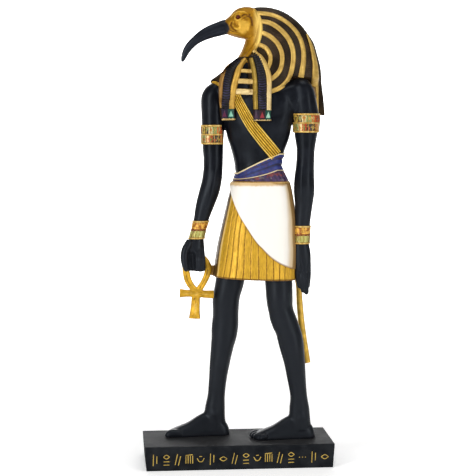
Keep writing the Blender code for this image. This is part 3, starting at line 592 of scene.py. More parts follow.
NEAR_ARM = [
    (256.0, 41.2, -7.4, 3.6, 4.6), (252.6, 42.0, -7.9, 6.2, 7.6), (247.0, 42.6, -8.0, 7.8, 8.8),
    (239.0, 43.6, -8.0, 8.5, 9.0), (229.0, 45.1, -8.0, 8.6, 8.4), (219.0, 44.9, -8.0, 7.6, 7.6),
    (209.0, 44.8, -8.0, 6.1, 6.7), (199.0, 44.4, -8.0, 6.1, 6.2), (190.0, 43.9, -8.0, 6.7, 6.5),
    (181.0, 43.9, -8.0, 6.9, 6.4), (171.0, 43.6, -8.0, 5.8, 5.6), (160.0, 42.8, -8.0, 5.2, 4.8),
    (148.0, 42.2, -8.0, 5.0, 4.1), (140.0, 42.8, -8.2, 5.8, 4.0), (128.5, 43.2, -8.8, 5.1, 3.3),
]
NEAR_FINGERS = [
    [(39.9, -8.4, 134.0, 1.8), (39.8, -9.2, 126.0, 1.8), (40.8, -8.6, 118.6, 1.5)],
    [(42.4, -8.8, 134.0, 1.9), (42.5, -9.8, 125.0, 1.9), (43.2, -9.0, 115.8, 1.6)],
    [(45.0, -8.6, 134.0, 1.9), (45.2, -9.4, 124.0, 1.9), (45.6, -8.4, 114.4, 1.6)],
    [(47.2, -8.0, 134.0, 1.6), (47.1, -8.4, 126.0, 1.6), (46.8, -7.4, 118.6, 1.4)],
    [(39.4, -7.4, 144.0, 2.3), (38.4, -8.2, 137.0, 2.3), (38.2, -7.6, 130.6, 2.0), (39.2, -7.0, 126.4, 1.5)],
]
FAR_FINGERS = [
    [(-31.2, -1.0, 149.0, 2.4), (-34.4, -2.2, 142.5, 2.8), (-35.0, -3.0, 136.5, 2.6),
     (-33.9, -3.4, 130.6, 2.2)],
    [(-27.9, 0.6, 145.0, 1.6), (-27.5, -2.4, 139.5, 1.8), (-27.4, -3.6, 135.5, 1.8),
     (-27.2, -3.2, 129.9, 1.6)],
    [(-25.2, 0.6, 145.0, 1.6), (-24.9, -2.8, 139.0, 1.8), (-24.8, -4.4, 135.5, 1.8),
     (-24.7, -3.8, 129.8, 1.7)],
    [(-23.0, 0.4, 144.0, 1.4), (-22.7, -2.6, 138.5, 1.5), (-22.6, -4.0, 135.5, 1.5),
     (-22.6, -3.6, 130.0, 1.5)],
]
FOOT = [
    (0.0, 2.4, 3.4), (1.4, 4.2, 7.0), (4.5, 5.3, 11.0), (10.0, 5.5, 15.4), (16.0, 5.5, 15.4),
    (22.0, 5.9, 12.6), (28.0, 6.5, 8.8), (34.0, 6.9, 6.4), (38.0, 6.6, 4.8), (40.0, 5.6, 3.6),
]
TOES = [(-4.4, 43.9, 2.7), (-0.9, 43.2, 2.0), (1.9, 41.9, 1.9), (4.2, 40.3, 1.8), (6.0, 38.3, 1.7)]
TOE_ROOT = 33.0
FEET = [(-4.4, 9.0, 7.6, 1.0), (52.0, -5.2, -6.6, -1.0)]


def foot(heel_x, heel_y, toe_y, outer):
    """A bare foot that points to -X; outer is the direction of the little toe."""
    def place(row, share):
        along, half_width, height = row
        across, up = oval(TAU * share, 2.4)
        y = heel_y + (toe_y - heel_y) * along / TOES[0][1]
        return Vector((heel_x - along, y + half_width * across, SOLE + max(0.0, height * up)))
    forms = [loft(curve_rows(FOOT, 4), 36, place)]
    for offset, tip, radius in TOES:
        y = toe_y + outer * offset
        keys = [
            (heel_x - TOE_ROOT, y, SOLE + 2.2, radius), (heel_x - tip + 1.7 * radius, y, SOLE + 2.4, radius),
            (heel_x - tip + radius, y, SOLE + 1.2, radius),
        ]
        forms.append(tube(keys, 20, SOLE))
    return forms


def toe_nails(heel_x, toe_y, outer):
    """The rim of each toe nail, as a stroke across the toe and one down each side."""
    rims = []
    for offset, tip, radius in TOES:
        x, y, z = heel_x - tip + radius, toe_y + outer * offset, SOLE + 2.0 + radius
        half = 0.55 * radius
        rims.append(([(x - 0.7 * radius, y - half, z - 0.8), (x + 0.3, y - half, z), (x + 0.3, y + half, z),
                      (x - 0.7 * radius, y + half, z - 0.8)], 0.28, -0.22))
    return rims


# %% The body's skin
limbs = [
    upright(TORSO, 72, power=2.3, slope=CHEST_TURN), upright(NECK, 48, power=2.3),
    upright(FAR_ARM, 48), upright(NEAR_ARM, 48), upright(FAR_LEG, 48), upright(NEAR_LEG, 48),
]
limbs += [tube(keys, 24) for keys in NEAR_FINGERS + FAR_FINGERS]
for heel in FEET:
    limbs += foot(*heel)
body = fuse(limbs, 0.5, 6, 0.42)
blend_joints(body, [
    ((37.0, -7.0, 250.0), 13.0, 60), ((-8.0, 3.0, 245.0), 9.0, 25), ((33.0, -8.0, 238.0), 9.0, 40),
    ((-8.0, 1.0, 236.0), 7.0, 30), ((-13.0, 9.0, 30.0), 9.0, 16), ((41.0, -6.0, 30.0), 9.0, 16),
    ((43.0, -8.5, 138.0), 7.0, 8),
])

# Under the kilt the trunk is drawn in a little, so that it stays inside the cloth.
HIDDEN = (178.0 * MM, 187.2 * MM)
TRUNK_MIDDLE, TRUNK_SIDE, DRAWN_IN = 15.5 * MM, 17.0 * MM, 0.86
for vert in body.vertices:
    if HIDDEN[0] < vert.co.z < HIDDEN[1] and abs(vert.co.x - TRUNK_MIDDLE) < TRUNK_SIDE:
        vert.co.y *= DRAWN_IN
print("body skin has", len(body.vertices), "points")

# %% [markdown]
# Flesh is more than ovals. Long soft strokes raise the collar bone, the kneecaps, the shins and the muscle of
# the calf and forearm, and short narrow ones cut the fingers, the hollow of the fist and the toe nails.

# %% Carved lines of the body
flesh = [
    ([(24.0, -14.6, 246.0), (35.0, -14.0, 250.5)], 2.6, 0.55),
    ([(33.0, -18.0, 243.0), (36.4, -17.0, 234.0), (36.0, -15.0, 226.0)], 1.9, -1.1),
    ([(-6.8, -9.0, 240.0), (-8.2, -5.0, 231.0)], 1.6, -0.8),
    ([(26.0, -18.0, 232.0), (14.0, -17.0, 228.0), (2.0, -12.0, 230.0)], 3.0, -0.45),
    ([(14.0, -12.6, 221.0), (13.6, -11.6, 208.0)], 1.8, -0.35),
    ([(-18.4, 6.0, 93.0), (-17.6, 6.0, 88.0)], 3.0, 0.55),
    ([(22.0, -8.0, 97.0), (24.4, -8.0, 91.0)], 3.0, 0.55),
    ([(-17.5, 6.0, 82.0), (-18.8, 6.6, 48.0)], 1.3, 0.45),
    ([(27.0, -8.0, 84.0), (34.6, -8.0, 46.0)], 1.3, 0.45),
    ([(37.6, -13.6, 78.0), (40.0, -12.0, 62.0)], 3.2, 0.4),
    ([(-6.0, 1.0, 80.0), (-9.2, 2.0, 64.0)], 3.2, 0.4),
    ([(42.6, -11.8, 31.5)], 2.2, 0.8),
    ([(-14.4, 3.4, 31.5)], 2.2, 0.8),
    ([(41.2, -14.4, 196.0), (41.2, -14.2, 176.0)], 1.7, 0.5),
    ([(-14.8, -2.4, 194.0), (-19.0, -3.2, 172.0)], 1.7, 0.5),
    ([(45.4, -15.0, 246.0), (46.0, -16.0, 236.0)], 4.0, 0.4),
]
hands = [
    ([(41.2, -12.0, 134.0), (41.2, -12.0, 117.0)], 0.42, -0.65),
    ([(43.8, -12.0, 135.0), (44.3, -12.0, 114.5)], 0.42, -0.65),
    ([(46.2, -11.0, 134.0), (46.4, -11.0, 117.0)], 0.42, -0.65),
    ([(40.0, -10.6, 142.0), (40.4, -11.0, 127.0)], 0.5, -0.5),
    ([(-30.3, -3.4, 140.0), (-30.4, -3.6, 135.0), (-30.2, -3.8, 129.8)], 1.7, -2.6),
    ([(-28.6, -5.2, 138.0), (-28.8, -5.4, 131.0)], 0.8, -0.9),
    ([(-26.0, -6.0, 138.5), (-25.9, -6.4, 128.0)], 0.4, -0.7),
    ([(-23.7, -6.0, 138.5), (-23.6, -6.2, 128.0)], 0.4, -0.6),
    ([(-33.6, -3.2, 144.5), (-29.6, -3.6, 146.0)], 1.6, 0.4),
]
nails = [rim for heel_x, _, toe_y, outer in FEET for rim in toe_nails(heel_x, toe_y, outer)]
carve(body, flesh + hands + nails)
show("body", body, skin_black, crease=50.0)

# %% [markdown]
# ## Head and beak
#
# The god has the head of an ibis, all gold, with a long black bill that curves down. The gold runs from the
# crown round the cheek and down the throat, and its rear edge is a smooth raised rim against the wig.
# Head, throat and rims are fused at a finer grain than the body, because the eye and its painted lines
# are the smallest carving on the figure.

# %% The head's skin
HEAD = [
    (281.6, 9.0, 0.0, 5.6, 6.6), (283.2, 6.1, 0.0, 9.0, 7.5), (285.6, 3.6, 0.0, 12.0, 8.4),
    (289.5, 2.8, 0.0, 12.7, 9.2), (293.4, 3.2, 0.0, 11.4, 9.0), (296.8, 4.6, 0.0, 9.2, 8.0),
    (299.8, 5.5, 0.0, 7.4, 6.4), (301.7, 6.0, 0.0, 4.8, 4.2), (302.5, 6.4, 0.0, 1.8, 1.6),
]
HOOD = [
    (231.4, 32.6, 8.0, 27.4, 7.6), (243.0, 30.8, 7.0, 28.0, 9.4), (251.5, 30.0, 5.4, 27.4, 10.8),
    (254.6, 29.7, 3.6, 27.2, 12.8), (256.8, 29.4, 1.6, 27.1, 15.0), (264.0, 29.5, 0.8, 26.0, 15.9),
    (272.0, 30.1, 0.5, 23.2, 15.5), (279.0, 29.3, 0.3, 21.8, 14.6), (285.5, 27.8, 0.2, 19.0, 13.3),
    (291.0, 26.0, 0.0, 16.4, 11.8), (295.6, 23.5, 0.0, 13.6, 9.9), (299.2, 20.7, 0.0, 10.6, 7.4),
    (301.4, 17.9, 0.0, 7.4, 4.6), (302.4, 16.4, 0.0, 3.4, 2.0),
]
SIDE_PANEL = [
    (244.6, 15.0, 0.6, 5.6, 14.2), (247.4, 17.4, 0.6, 11.6, 16.0), (251.0, 18.8, 0.6, 14.2, 16.9),
    (256.0, 20.6, 0.6, 16.8, 17.4), (263.0, 21.4, 0.6, 17.4, 16.8), (270.0, 21.0, 0.6, 17.0, 15.2),
]
FAR_PANEL = [
    (250.8, -4.4, 7.5, 9.8, 6.2), (252.8, -4.6, 7.5, 12.0, 7.2), (254.8, -4.6, 7.4, 12.0, 7.6),
    (256.8, -3.5, 7.3, 10.4, 8.0), (258.8, -1.8, 7.2, 9.4, 8.2), (261.5, 1.2, 6.8, 8.9, 8.6),
    (265.0, 5.8, 6.0, 8.2, 8.6),
]
MANTLE_RIM = [
    (10.2, 300.4, 2.6), (13.2, 295.8, 3.1), (14.4, 289.0, 3.4), (13.6, 282.0, 3.4), (11.2, 276.2, 3.4),
    (4.6, 268.4, 3.2),
]


def rails_of(keys, spacing):
    """Pairs of edge points for keys of x, z and width, about so many millimetres apart."""
    length = sum(math.dist(a[:2], b[:2]) for a, b in zip(keys, keys[1:]))
    rows = curve_rows(keys, max(2, round(length / spacing / (len(keys) - 1))))
    pairs = []
    for index, (x, z, width) in enumerate(rows):
        ahead = rows[min(index + 1, len(rows) - 1)]
        behind = rows[max(index - 1, 0)]
        along = Vector((ahead[0] - behind[0], ahead[1] - behind[1])).normalized()
        across = Vector((along.y, -along.x)) * width / 2.0
        pairs.append((Vector((x, z)) - across, Vector((x, z)) + across))
    return pairs


def crown(share, fullness=3.0):
    """Height of a rounded band across its width, 1 in the middle and low at its edges."""
    return (1.0 - abs(2.0 * share - 1.0) ** fullness) ** 0.6


def band(rails, find, lift, columns, side=NEAR, sink=1.6, relief=None, fullness=3.0, edge_drop=2.5):
    """A raised band between rails on what find sees; relief(along, across, share) changes its height."""
    sections = []
    middle = None
    travelled = 0.0
    last_centre = None
    for left, right in rails:
        centre = (left + right) / 2.0
        travelled += (centre - last_centre).length if last_centre else 0.0
        last_centre = centre
        middle = find(centre.x, centre.y, side) or middle
        if middle is None:
            continue
        deepest = side * middle[0].y - edge_drop
        width = (right - left).length
        hits = []
        for column in range(columns + 1):
            spot = left.lerp(right, column / columns)
            point, normal = find(spot.x, spot.y, side) or middle
            hits.append((Vector((spot.x, side * max(side * point.y, deepest), spot.y)), normal))
        outward = sum((normal for point, normal in hits), Vector()).normalized()
        outward = (outward + Vector((0.0, side, 0.0))).normalized()
        row = []
        for column, (point, normal) in enumerate(hits):
            share = column / columns
            rise = crown(share, fullness)
            extra = relief(travelled, share * width, share) if relief else 0.0
            raised = min(max((0.5 + 1.6 * extra) * min(1.0, 1.4 * rise), 0.0), 1.0)
            spot = point + outward * (lift * (0.25 + 0.75 * rise) + extra * min(1.0, 3.0 * rise))
            row.append((spot, (travelled, share * width, raised)))
        for point, normal in (hits[-1], hits[0]):
            row.append((point - outward * sink, (travelled, 0.0, 0.0)))
        sections.append(row)

    def place(section, share):
        return section[round(share * len(section)) % len(section)]
    return loft(sections, columns + 3, place)


head_form = upright(HEAD, 64, rear_power=3.6, steps=6)
throat_rows = [(265.6, 6.4, 0.0, 9.1, 10.5)] + [row for row in NECK if row[0] > 267.0]
throat = upright(throat_rows, 48, power=2.3, grow=0.35)
on_head = finder([head_form, throat, upright(HOOD, 48)])
rims = [band(rails_of(MANTLE_RIM, 1.2), on_head, 1.3, 8, side, 2.6) for side in (NEAR, FAR)]
head = fuse([head_form, throat] + rims, 0.3, 5, 0.30)
print("head skin has", len(head.vertices), "points")

# %% [markdown]
# The eye sits in a ring of raised lid, with a brow line over it and a painter's eye line behind it. Below
# lie the round cheek and a curl towards the bill. Both sides carry the same carving.

# %% Carved lines of the head
FACE_LINES = [
    ([(0.2, 295.2)], 1.6, -0.5), ([(3.2, 288.9)], 4.4, 0.9), ([(-1.0, 289.0)], 2.2, -0.25),
    ([(-2.0, 294.2), (-1.5, 296.5), (0.2, 297.3), (2.0, 296.4), (2.4, 294.6), (0.8, 293.2), (-1.0, 293.2),
      (-2.0, 294.2)], 0.45, 0.6),
    ([(-4.0, 295.4), (-2.0, 297.6), (0.8, 298.8), (4.0, 298.6), (6.4, 297.2)], 0.6, 0.6),
    ([(2.0, 295.4), (3.2, 296.6), (5.0, 297.4)], 0.6, -0.75),
    ([(2.6, 294.2), (4.4, 294.8), (6.0, 296.0)], 0.5, -0.65),
    ([(4.4, 292.6), (6.2, 293.4)], 0.5, -0.6), ([(6.2, 298.0), (8.0, 297.0)], 0.5, -0.6),
    ([(-2.9, 292.4), (-3.6, 290.3), (-1.8, 287.9), (0.8, 287.3)], 0.4, 0.5),
    ([(-4.2, 291.8), (-4.8, 289.8), (-3.2, 287.4), (-1.0, 286.2)], 0.55, -0.65),
    ([(-2.0, 291.0), (-1.2, 289.4), (0.2, 289.2)], 0.45, -0.5),
    ([(-6.0, 287.0), (-3.2, 285.8), (0.8, 284.8)], 0.5, -0.5),
    ([(6.8, 296.2), (8.4, 295.0), (9.2, 293.0), (9.3, 290.4)], 0.75, -0.9),
    ([(9.2, 289.0), (8.4, 286.0), (6.2, 283.2)], 1.4, -0.3),
]


def on_skin(find, lines, side):
    """The lines' points of x and z, put on the skin at one side."""
    placed = []
    for path, width, lift in lines:
        spots = [(x, find(x, z, side), z) for x, z in path]
        placed.append(([tuple(hit[0]) for x, hit, z in spots if hit], width, lift))
    return [stroke for stroke in placed if stroke[0]]


skin_of_head = finder([head])
carve(head, on_skin(skin_of_head, FACE_LINES, NEAR) + on_skin(skin_of_head, FACE_LINES, FAR), mark=True)

# The gold meets the bill's black on a line that bows into the face, and the rim against the wig is paler,
# as a painted highlight.
ROOT_MIDDLE, ROOT_HALF, ROOT_BOW = 287.8 * MM, 5.0 * MM, 2.9 * MM
BLACK_TO, BROWN_FADE, RIM_FADE = -5.3 * MM, (-5.2 * MM, -3.8 * MM), (9.5 * MM, 14.0 * MM)
tree, shader, gold = top_coat(head_gold)
where = own_axes(tree)
ragged = uneven(tree, where["X"], 1.6, 0.8 * MM)
above = calc(tree, "DIVIDE", calc(tree, "SUBTRACT", where["Z"], ROOT_MIDDLE), ROOT_HALF)
bow = calc(tree, "MULTIPLY_ADD", calc(tree, "MULTIPLY", above, above), ROOT_BOW, ragged)
rim_light = calc(tree, "MULTIPLY", steps_of(tree, ragged, *RIM_FADE), 0.7)
paler = tint(tree, rim_light, gold, (0.86, 0.62, 0.17))
edged = tint(tree, invert(tree, steps_of(tree, bow, *BROWN_FADE)), paler, (0.14, 0.07, 0.012))
# Where the face turns away from view, the gold is darkened towards brown as painted shade.
turned_away = steps_of(tree, add(tree, "ShaderNodeLayerWeight", {}, 0.4).outputs["Facing"], 0.45, 0.95)
painted_edge_shade = tint(tree, calc(tree, "MULTIPLY", turned_away, 0.5), edged, (0.20, 0.10, 0.012))
bill_black = calc(tree, "LESS_THAN", bow, BLACK_TO)
recolour(tree, shader, tint(tree, bill_black, painted_edge_shade, (0.006, 0.007, 0.011)))
give(tree, shader.inputs["Metallic"], calc(tree, "MULTIPLY", invert(tree, bill_black), 0.5))
show("gold_head", head, head_gold, crease=50.0)

# %% Eyes
EYE, EYE_RADIUS, EYE_SUNK = (0.2, 295.2), 1.35, 0.35
eye_paint, tree, shader = new_paint("eye red", specular=0.25)
preset(shader, Roughness=0.15)
recolour(tree, shader, tint(tree, noise(tree, 0.8), (0.03, 0.002, 0.001), (0.12, 0.008, 0.003)))
balls = bmesh.new()
for side in (NEAR, FAR):
    spot = skin_of_head(EYE[0], EYE[1], side)[0]
    ball = bmesh.ops.create_uvsphere(balls, u_segments=32, v_segments=20, radius=EYE_RADIUS)["verts"]
    bmesh.ops.translate(balls, vec=(spot.x, spot.y - side * EYE_SUNK, spot.z), verts=ball)
bmesh.ops.scale(balls, vec=(MM, MM, MM), verts=balls.verts)
show("eyes", finished(balls), eye_paint, crease=50.0)

# %% Bill
BEAK = [
    (-2.0, 295.0, -2.0, 285.0, 4.6), (-8.6, 294.1, -7.6, 284.2, 4.3), (-13.4, 292.4, -11.6, 283.2, 3.8),
    (-18.9, 290.1, -16.0, 282.1, 3.3), (-24.4, 286.9, -20.6, 280.5, 2.9), (-29.2, 282.7, -25.2, 278.2, 2.5),
    (-33.1, 278.5, -29.0, 275.0, 2.1), (-35.5, 274.3, -31.6, 271.8, 1.8), (-36.7, 269.7, -33.8, 268.2, 1.3),
    (-36.7, 266.9, -35.3, 266.2, 0.6),
]


def bill_point(row, share):
    """A ring round the bill with a shallow groove along its side, where the two halves meet."""
    upper = Vector((row[0], 0.0, row[1]))
    lower = Vector((row[2], 0.0, row[3]))
    up, out = math.sin(TAU * share), math.cos(TAU * share)
    groove = 1.0 - 0.12 * math.exp(-((up + 0.15) / 0.13) ** 2)
    return (upper + lower) / 2.0 + (upper - lower) / 2.0 * up + Vector((0.0, row[4] * out * groove, 0.0))


show("bill", loft(curve_rows(BEAK, 8), 56, bill_point), beak_black, crease=50.0)

# %% [markdown]
# ## Wig
#
# The striped head cloth is a smooth dark hood. Gold bands lie on it in arcs one inside the other, and the
# black stripes between them are cut with a fine crossed braid. Each band and stripe is a strip laid on
# the hood, between two edges given in the side view; the far side of the head gets the same strips.

# %% Hood
hood = fuse([
    upright(HOOD, 64, steps=5), upright(SIDE_PANEL, 56, power=3.0), upright(FAR_PANEL, 48),
], 0.5, 3, 0.30)
on_wig = finder([hood, body])
show("hood", hood, wig_black, crease=50.0)

# %% Gold arcs
WIG_ARCS = {
    "outer": [
        (11.6, 298.2, 3.0), (21.4, 296.8, 3.0), (28.6, 293.8, 3.0), (34.8, 289.1, 3.0), (39.4, 283.2, 3.1),
        (42.0, 275.6, 3.3), (42.4, 266.9, 3.6), (40.9, 256.4, 4.2),
    ],
    "middle": [
        (13.0, 292.6, 3.1), (20.4, 291.4, 3.2), (27.2, 287.0, 3.4), (32.6, 280.6, 3.5), (35.3, 273.0, 3.5),
        (35.1, 264.0, 3.5), (32.6, 255.8, 3.4), (27.6, 250.0, 3.2), (20.4, 246.8, 3.0),
    ],
    "inner": [
        (13.4, 286.0, 3.2), (20.0, 282.9, 3.2), (25.4, 277.6, 3.2), (28.1, 270.6, 3.2), (27.4, 262.8, 3.2),
        (24.4, 257.8, 3.2), (20.0, 254.4, 3.0),
    ],
    "core": [
        (12.2, 278.0, 3.0), (17.6, 275.3, 3.0), (20.4, 270.2, 3.0), (20.0, 264.9, 2.8), (18.4, 261.4, 2.6),
    ],
    "rear": [
        (45.2, 284.6, 1.0), (47.4, 279.0, 2.0), (49.0, 273.6, 3.0), (50.6, 265.6, 3.9), (51.0, 260.5, 4.9),
        (51.3, 254.7, 5.4), (51.7, 250.7, 5.4), (52.3, 246.8, 4.5), (53.0, 242.8, 3.3), (53.8, 238.0, 2.0),
        (54.4, 233.6, 1.1),
    ],
}
ARC_LIFT = 1.0


def hammered(along, across, share):
    """Slight unevenness of a band modelled by hand."""
    return 0.07 * math.sin(along * 0.9 + 1.3 * math.sin(along * 0.37)) + 0.04 * math.sin(along * 2.3 + across)


for side, label in ((NEAR, "near"), (FAR, "far")):
    arcs = [
        band(rails_of(keys, 0.8), on_wig, ARC_LIFT, 12, side, relief=hammered) for keys in WIG_ARCS.values()
    ]
    show(f"wig_gold_{label}", gather(arcs), pale_gold)

# %% [markdown]
# The black stripes run between the inner edge of one arc and the outer edge of the next. Two slanting waves
# multiplied together give the crossed locks of a braid, about a millimetre apart.

# %% Braided stripes
BRAID_STEP = 1.25
CROWN_LINE = [
    (12.6, 301.3, 1.2), (22.0, 300.2, 1.2), (31.0, 296.6, 1.2), (37.8, 291.6, 1.2), (42.6, 285.6, 1.2),
    (46.2, 275.4, 1.2), (47.9, 266.0, 1.2), (48.4, 256.6, 1.2),
]


def braid(along, across, share):
    """Crossed locks."""
    first = abs(math.sin(math.pi * (along + across) / BRAID_STEP))
    second = abs(math.sin(math.pi * (along - across) / BRAID_STEP))
    return 0.46 * first * second - 0.22


def stripe_rails(outer, inner, outer_end, inner_end, rows):
    """Rails from the inner edge of the outer band to the outer edge of the inner one."""
    outer_edge = [pair[0] for pair in rails_of(outer, 0.5)]
    inner_edge = [pair[1] for pair in rails_of(inner, 0.5)]
    pairs = []
    for number in range(rows + 1):
        picked = []
        for edge, end in ((outer_edge, outer_end), (inner_edge, inner_end)):
            spot = number / rows * end * (len(edge) - 1)
            low = min(int(spot), len(edge) - 2)
            picked.append(edge[low].lerp(edge[low + 1], spot - low))
        pairs.append((picked[0], picked[1]))
    return pairs


STRIPES = [
    (CROWN_LINE, WIG_ARCS["outer"], 1.0, 1.0, 190),
    (WIG_ARCS["outer"], WIG_ARCS["middle"], 1.0, 0.72, 180),
    (WIG_ARCS["middle"], WIG_ARCS["inner"], 1.0, 1.0, 150),
    (WIG_ARCS["inner"], WIG_ARCS["core"], 0.97, 1.0, 110),
]
for side, label in ((NEAR, "near"), (FAR, "far")):
    stripes = [
        band(stripe_rails(*stripe), on_wig, 0.35, 16, side, relief=braid, fullness=8.0) for stripe in STRIPES
    ]
    show(f"wig_braids_{label}", gather(stripes), braid_black, crease=80.0)

# %% [markdown]
# ## Lappets and collar
#
# Two thick strips of the wig fall over the chest. Each has a twisted rope down its middle, gold borders
# and a painted foot with small triangles, and gold bars of the collar show between them.

# %% Lappet tables
LAPPET_NEAR = [
    (273.4, 9.4, 10.8), (271.6, 8.4, 12.6), (268.0, 7.0, 15.6), (262.0, 7.6, 19.4), (255.0, 8.5, 21.4),
    (246.0, 9.0, 21.3), (236.0, 9.3, 21.0), (227.6, 9.2, 20.9),
]
LAPPET_FAR = [
    (269.0, 1.0, 6.8), (265.0, -4.8, 3.9), (260.0, -8.8, 1.8), (254.6, -11.0, 0.4), (249.0, -12.1, -0.9),
    (242.0, -12.2, -1.7), (235.0, -11.5, -1.8), (228.2, -10.4, -1.7),
]
ROPES = [
    [(9.6, 271.6, 3.4), (12.0, 267.0, 5.0), (14.0, 259.5, 5.6), (14.8, 252.0, 5.8), (15.0, 245.9, 5.8),
     (15.1, 235.2, 5.8)],
    [(0.6, 267.3, 3.8), (-4.2, 262.7, 4.8), (-6.4, 258.2, 5.2), (-7.6, 250.5, 5.4), (-8.0, 235.6, 5.2)],
]
BORDERS = [
    [(9.8, 273.6, 2.2), (12.6, 270.6, 3.1), (15.5, 266.6, 3.5), (18.0, 261.2, 3.7), (19.3, 254.5, 3.7),
     (19.4, 243.5, 3.5), (19.2, 234.8, 3.5)],
    [(8.0, 268.5, 2.4), (9.2, 262.4, 2.9), (10.1, 255.3, 3.1), (10.6, 245.9, 3.1), (10.9, 235.4, 3.1)],
    [(5.2, 268.0, 3.2), (2.1, 265.0, 3.7), (-0.3, 260.2, 4.1), (-1.9, 254.6, 4.3), (-3.4, 249.2, 4.4),
     (-4.1, 241.8, 4.3), (-4.1, 235.8, 4.2)],
]
THIN_BORDER = [
    (-2.8, 266.0, 1.8), (-5.6, 263.6, 2.6), (-8.3, 260.2, 3.3), (-10.4, 254.8, 3.5), (-11.3, 248.5, 2.9),
    (-11.2, 241.8, 2.1), (-10.7, 236.4, 1.5),
]
SHOULDER_EDGE = [
    (-16.0, 253.5, 1.2), (-14.6, 253.1, 1.9), (-12.6, 252.2, 2.3), (-10.8, 250.6, 2.4), (-10.4, 247.5, 1.8),
]
TIPS = [[(15.2, 234.8, 11.9), (15.2, 228.0, 11.7)], [(-6.2, 235.6, 8.8), (-6.0, 228.4, 8.7)]]
BARS = [(1.7, 9.3, 260.2, 2.6), (-0.2, 9.6, 253.5, 3.4), (-1.6, 9.2, 246.8, 4.0)]

# %% Rope paint: blue towards the lower end, on the raised ribs as a painted highlight
rope_paint, tree, shader = new_paint("rope blue", specular=0.2)
mottle = grain_on(tree, shader, 0.34, 0.15)
along, _, raised = flat_numbers(tree)
lower = calc(tree, "MULTIPLY_ADD", steps_of(tree, along, 12.0, 30.0), 0.8, 0.2)
# The blue is the rope's own colour low down, laid only on the raised ribs as a painted highlight.
blue = calc(tree, "MULTIPLY", steps_of(tree, raised, 0.45, 0.9), calc(tree, "MULTIPLY", lower, mottle))
recolour(tree, shader, tint(tree, blue, (0.006, 0.005, 0.003), (0.045, 0.036, 0.11)))


def twist(along, across, share):
    """Ribs of a twisted rope, bent a little towards the sides."""
    phase = along + 0.9 * abs(2.0 * share - 1.0) ** 2
    return 0.55 * abs(math.sin(math.pi * phase / 1.55)) - 0.30


# %% Lappets with their ropes and borders
lappet_forms = [
    band([(Vector((left, z)), Vector((right, z))) for z, left, right in curve_rows(keys, 6)], on_wig, 2.2, 14,
         sink=3.6, fullness=8.0)
    for keys in (LAPPET_NEAR, LAPPET_FAR)
]
on_lappets = finder([body, head, hood] + lappet_forms)
ropes = [band(rails_of(keys, 0.28), on_lappets, 1.0, 14, relief=twist, fullness=2.4) for keys in ROPES]
borders = [band(rails_of(keys, 0.8), on_lappets, 0.7, 10, relief=hammered) for keys in BORDERS]
thin_border = band(rails_of(THIN_BORDER, 0.8), on_lappets, 0.5, 6)
shoulder_edge = band(rails_of(SHOULDER_EDGE, 0.8), on_wig, 0.6, 8, relief=hammered)
bar_keys = [[(left - 0.6, z + 0.2, width), (right + 0.6, z - 0.2, width)] for left, right, z, width in BARS]
bars = [band(rails_of(keys, 0.8), on_wig, 1.7, 10, sink=3.4, relief=hammered) for keys in bar_keys]
show("lappet_ropes", gather(ropes), rope_paint, crease=80.0)

# The cream gold of the near border and the bars turns to plain gold higher up.
CREAM_FADE = (244.0 * MM, 258.0 * MM)
tree, shader, cream = top_coat(cream_gold)
upper = calc(tree, "MULTIPLY", steps_of(tree, own_axes(tree)["Z"], *CREAM_FADE), 0.85)
recolour(tree, shader, tint(tree, upper, cream, (0.60, 0.39, 0.10)))
# The near lappet's inner border is a darker olive gold: painted shade, for the shade it lies in.
for label, piece, paint in zip(("rear", "inner", "far"), borders, (cream_gold, olive_gold, amber_gold)):
    show(f"lappet_border_{label}", piece, paint)
show("lappet_thin_border", thin_border, brown_gold)
show("shoulder_edge", shoulder_edge, old_gold)
show("collar_bars", gather(bars), cream_gold)

# %% [markdown]
# The feet of the lappets are painted, not carved: a row of small triangles on a dark ground with a pale
# line under them. The triangles come from the flat numbers: within each pitch, a point is inside one
# while its distance from the middle is less than its share of the height.

# %% Lappet feet
TRIANGLE_TOP, TRIANGLE_HEIGHT, PALE_LINE = 0.7, 4.2, 7.3


def tip_paint(name, start, grounds, colours, pitch=3.9):
    """Triangles side by side from the right, in the given colours, each on its own ground."""
    paint, tree, shader = new_paint(name, specular=0.3)
    grain_on(tree, shader, 0.35, 0.1)
    along, across, _ = flat_numbers(tree)
    down = calc(tree, "DIVIDE", calc(tree, "SUBTRACT", along, TRIANGLE_TOP), TRIANGLE_HEIGHT)
    above_foot = calc(tree, "LESS_THAN", along, TRIANGLE_TOP + TRIANGLE_HEIGHT)
    colour = (0.010, 0.006, 0.014)
    for number, (ground, tone) in enumerate(zip(grounds, colours)):
        aside = off(tree, across, start + pitch * number)
        on_ground = calc(tree, "LESS_THAN", uneven(tree, aside, 1.0, 1.2), 0.5 * pitch + 0.5)
        colour = tint(tree, on_ground, colour, ground)
        inside = calc(tree, "SUBTRACT", calc(tree, "MULTIPLY", down, 1.55), aside)
        mask = calc(tree, "MULTIPLY", steps_of(tree, inside, 0.0, 0.25), above_foot)
        colour = tint(tree, mask, colour, tone)
    line = calc(tree, "GREATER_THAN", uneven(tree, along, 0.9, 2.2), PALE_LINE)
    recolour(tree, shader, tint(tree, line, colour, (0.50, 0.34, 0.13)))
    return paint


